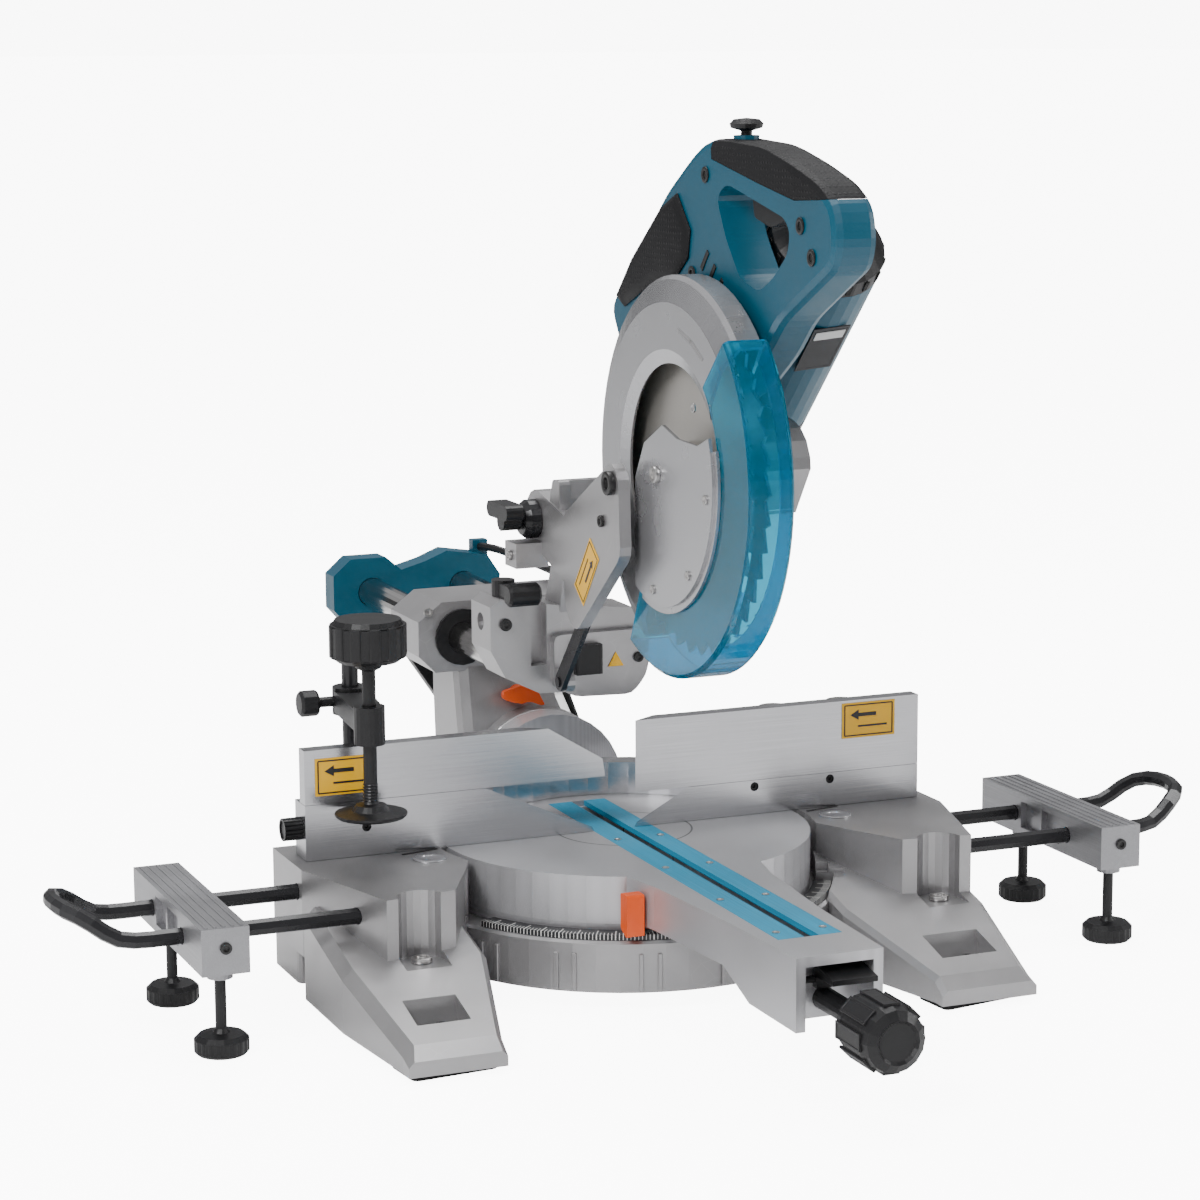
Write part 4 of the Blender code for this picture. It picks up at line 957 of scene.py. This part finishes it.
@dataclass
class HeadDetails:
    """What shows on the head: rivets, case slots, handle screws, the side panel, vents, plate and label."""

    case_face: float = -0.018
    cover_face: float = -0.0266
    rivet_angles: tuple[int, ...] = (40, -5, -50, -95)      # degrees up from straight forward
    rivet_reach: float = 0.084
    slot_angles: tuple[int, ...] = (62, 74)
    slot_reach: float = 0.104
    handle_sides: tuple[tuple[float, int], ...] = ((0.0138, -1), (0.0462, 1))      # face and the way it looks
    handle_screw_spots: tuple[tuple[float, float], ...] = ((-0.121, 0.593), (-0.273, 0.565), (-0.098, 0.522),
                                                           (-0.290, 0.545))
    panel_outline: tuple[tuple[float, float], ...] = (
        (-0.073, 0.578), (-0.096, 0.553), (-0.092, 0.533), (-0.071, 0.518), (-0.029, 0.512), (0.024, 0.490),
        (0.040, 0.497), (0.010, 0.526), (-0.044, 0.566))
    first_louvre: tuple[float, float] = (-0.120, 0.533)
    louvre_step: tuple[float, float] = (-0.012, -0.009)
    motor_radius: float = 0.042

    def round_arbor(self, x: float, angle: float, reach: float) -> Vector:
        """A point round the blade's axis, at an angle up from straight forward."""
        turn = math.radians(angle)
        return Vector((x, ARBOR.y - reach * math.cos(turn), ARBOR.z + reach * math.sin(turn)))

    def cover_rivets(self) -> None:
        """Rivets round the turning cover and the blade bolt in its middle."""
        left = Vector((-1, 0, 0))
        for number, angle in enumerate(self.rivet_angles, 1):
            spot = self.round_arbor(self.cover_face, angle, self.rivet_reach)
            piece = Screw(0.0034, 0.0014, 20, 0.3).model(spot, left)
            place_piece(piece, f"cover_rivet_{number}", "guard", SCREW)
        bolt = Screw(0.0062, 0.0036, 24).model(Vector((self.cover_face, ARBOR.y, ARBOR.z)), left)
        place_piece(bolt, "cover_bolt", "guard", SCREW)

    def case_slots(self) -> None:
        """Two short slots near the top of the upper blade case."""
        for number, angle in enumerate(self.slot_angles, 1):
            turn = math.radians(angle)
            along = Vector((0, math.sin(turn), math.cos(turn)))
            spot = self.round_arbor(self.case_face - 0.0001, angle, self.slot_reach)
            plate = FlatPlate((0.024, 0.0030, 0.0006)).stand(spot, along, Vector((-1, 0, 0)))
            place_piece(plate, f"case_slot_{number}", "head", CAST)

    def handle_screws(self) -> None:
        """Dark recessed screws on both sides of the handle."""
        places = [(x, way, y, z) for y, z in self.handle_screw_spots for x, way in self.handle_sides]
        for number, (x, way, y, z) in enumerate(places, 1):
            piece = Screw(0.0058, 0.0012, 24, 1.6).model(Vector((x, y, z)), Vector((way, 0, 0)))
            place_piece(piece, f"handle_screw_{number}", "head", BLACK_INK_AND_SHADE)

    def side_panel(self) -> None:
        """The black moulded panel on the handle's left rear."""
        deselect()
        bpy.ops.mesh.primitive_circle_add(vertices=len(self.panel_outline), radius=0.03, fill_type="NGON")
        panel = bpy.context.object
        for vertex, (y, z) in zip(panel.data.vertices, self.panel_outline):
            vertex.co = (0.0139, y, z)
        bpy.ops.object.mode_set(mode="EDIT")
        bpy.ops.mesh.select_all(action="SELECT")
        bpy.ops.mesh.inset(thickness=0.004)
        bpy.ops.transform.translate(value=(-0.0022, 0, 0))
        bpy.ops.mesh.inset(thickness=0.003)
        bpy.ops.transform.translate(value=(-0.0008, 0, 0))
        bpy.ops.object.mode_set(mode="OBJECT")
        step = panel.modifiers.new("wall", "SOLIDIFY")
        step.thickness = 0.0012
        bpy.ops.object.modifier_apply(modifier=step.name)
        bpy.ops.object.mode_set(mode="EDIT")
        bpy.ops.mesh.select_all(action="SELECT")
        bpy.ops.mesh.normals_make_consistent(inside=False)
        bpy.ops.object.mode_set(mode="OBJECT")
        soften(panel, 0.0008, 2)
        place_piece(panel, "handle_side_panel", "head", SOFT)

    def louvres(self) -> None:
        """Slots in the handle's left side and round the motor's end cap, as dark plates that are painted shade
        inside the openings.
        """
        along, left = Vector((0, -0.66, 0.75)), Vector((-1, 0, 0))
        for number in range(1, 5):
            y, z = (start + step * (number - 1) for start, step in zip(self.first_louvre, self.louvre_step))
            # painted shade: black plates stand in for the shade inside the handle's slots
            plate = FlatPlate((0.017, 0.0042, 0.0010), 0.0009).stand(Vector((0.0137, y, z)), along, left)
            place_piece(plate, f"handle_slot_{number}", "head", BLACK_INK_AND_SHADE)
        cap = MOTOR_FOOT + MOTOR_DIRECTION * 0.1655
        # painted shade: dark plates stand in for the shade inside the end cap's vents
        vents = [FlatPlate((0.0040, 0.0085, 0.0010), 0.0006).stand(place, MOTOR_DIRECTION.cross(out), out)
                 for place, out in ring_of(18, self.motor_radius + 0.0008, cap, MOTOR_DIRECTION)]
        place_piece(join_as_one(vents), "motor_cap_vents", "head", RUBBER_AND_SHADE)

    def rating_plate(self) -> None:
        """A blank dark rating plate with a pale strip on the motor's front."""
        spot = MOTOR_FOOT + MOTOR_DIRECTION * 0.104
        out = Vector((0.10, -0.70, -0.70))
        out = (out - MOTOR_DIRECTION * out.dot(MOTOR_DIRECTION)).normalized()
        across = MOTOR_DIRECTION.cross(out)
        face = spot + out * (self.motor_radius + 0.0012)
        plate = FlatPlate((0.030, 0.046, 0.0008), 0.002).stand(face, across, out)
        place_piece(plate, "rating_plate", "head", PLATE)
        strip_place = face + out * 0.0006 + MOTOR_DIRECTION * 0.015
        strip = FlatPlate((0.024, 0.008, 0.0006), 0.001).stand(strip_place, across, out)
        place_piece(strip, "rating_strip", "head", STRIP)

    def motor_label(self) -> None:
        """A yellow sticker on the motor's left side, seen through the handle."""
        side = MOTOR_FOOT + MOTOR_DIRECTION * 0.116 + Vector((-self.motor_radius - 0.0004, 0, 0))
        WarningLabel("motor_label", side, MOTOR_DIRECTION, Vector((-1, 0, 0)), (0.030, 0.018), "head").build()

    def build(self) -> None:
        """Model all of them."""
        self.cover_rivets()
        self.case_slots()
        self.handle_screws()
        self.side_panel()
        self.louvres()
        self.rating_plate()
        self.motor_label()


# ---------------------------------------------------------------- studio


@dataclass
class Studio:
    """The pale floor, the soft lights and the camera."""

    camera_place: Vector = field(default_factory=lambda: Vector((-0.9135, -2.1727, 0.6882)))
    yaw: float = 22.393
    pitch: float = 10.023
    roll: float = -0.337
    lens: float = 95.5

    def floor(self) -> None:
        """A wide flat floor that reaches far behind the saw."""
        deselect()
        bpy.ops.mesh.primitive_plane_add(size=160.0, location=(0, 60.0, -0.0005))
        floor = bpy.context.object
        floor.name = "studio_floor"
        floor.data.materials.append(Paints.of(FLOOR))
        graph = Graph(floor.data.materials[0].node_tree)
        shader = graph.tree.nodes["Principled BSDF"]
        shader.inputs["Emission Color"].default_value = (1.0, 1.0, 1.0, 1.0)
        seen = graph.add("ShaderNodeLightPath").outputs["Is Camera Ray"]
        graph.link(graph.remap(seen, 0.0, 1.0, 0.08, 9.0), shader.inputs["Emission Strength"])

    def lamp(self, name: str, place: tuple[float, float, float], size: float, power: float) -> None:
        """Add one square area light that looks at the saw's middle.

        Args:
            name: Its name.
            place: Where it stands.
            size: Its side.
            power: Its power in watts.
        """
        data = bpy.data.lights.new(name, "AREA")
        data.size = size
        data.energy = power
        lamp = bpy.data.objects.new(name, data)
        bpy.context.scene.collection.objects.link(lamp)
        lamp.location = place
        aim = Vector((0, 0, 0.3)) - Vector(place)
        lamp.rotation_euler = aim.to_track_quat("-Z", "Y").to_euler()

    def lights(self) -> None:
        """A large key on the left, a fill on the right, a top light and a white surround."""
        self.lamp("key_light", (-2.2, -1.6, 2.4), 1.0, 100.0)
        self.lamp("fill_light", (2.6, -1.2, 1.2), 0.8, 26.0)
        self.lamp("top_light", (0.3, 0.8, 2.8), 1.4, 62.0)
        world = bpy.data.worlds.new("white_surround")
        world.use_nodes = True
        graph = Graph(world.node_tree)
        background = world.node_tree.nodes["Background"]
        height = graph.add("ShaderNodeSeparateXYZ", {0: graph.add("ShaderNodeTexCoord").outputs["Generated"]})
        shade = graph.add("ShaderNodeValToRGB", {"Fac": graph.remap(height.outputs[2], -1.0, 1.0, 0.0, 1.0)})
        ramp = shade.color_ramp
        ramp.elements[0].color = (0.50, 0.50, 0.51, 1.0)
        ramp.elements[1].color = (1.0, 1.0, 1.0, 1.0)
        for position, level in ((0.49, 0.35), (0.53, 0.10), (0.60, 0.16), (0.66, 0.80)):
            ramp.elements.new(position).color = (level, level, level * 1.02, 1.0)
        seen = graph.add("ShaderNodeLightPath").outputs["Is Camera Ray"]
        graph.link(graph.blend(seen, shade.outputs["Color"], (13.6, 13.6, 13.6, 1.0)), background.inputs["Color"])
        background.inputs["Strength"].default_value = 0.66
        bpy.context.scene.world = world

    def camera(self) -> None:
        """The camera at its measured place and turn."""
        yaw, pitch, roll = (math.radians(a) for a in (self.yaw, self.pitch, self.roll))
        forward = Vector((math.sin(yaw) * math.cos(pitch), math.cos(yaw) * math.cos(pitch), -math.sin(pitch)))
        side = Vector((math.cos(yaw), -math.sin(yaw), 0.0))
        rise = side.cross(forward)
        right = side * math.cos(roll) + rise * math.sin(roll)
        up = rise * math.cos(roll) - side * math.sin(roll)
        data = bpy.data.cameras.new("camera")
        data.lens = self.lens
        data.sensor_width = 36.0
        camera = bpy.data.objects.new("camera", data)
        bpy.context.scene.collection.objects.link(camera)
        turn = Matrix((right, up, -forward)).transposed().to_4x4()
        camera.matrix_world = Matrix.Translation(self.camera_place) @ turn
        bpy.context.scene.camera = camera

    def build(self) -> None:
        """Set the studio up."""
        self.floor()
        self.lights()
        self.camera()


def main() -> None:
    """Dress the frame, add each sub-assembly's details and set up the studio."""
    logging.basicConfig(level=logging.INFO)
    dress_frame()
    for part in (BaseDetails(), FenceDetails(), HolderDetails(), ViseDetails(), GripDetails(), NeckDetails(),
                 HeadDetails(), Studio()):
        part.build()
        LOG.info("built %s", type(part).__name__)


if __name__ == "__main__":
    main()
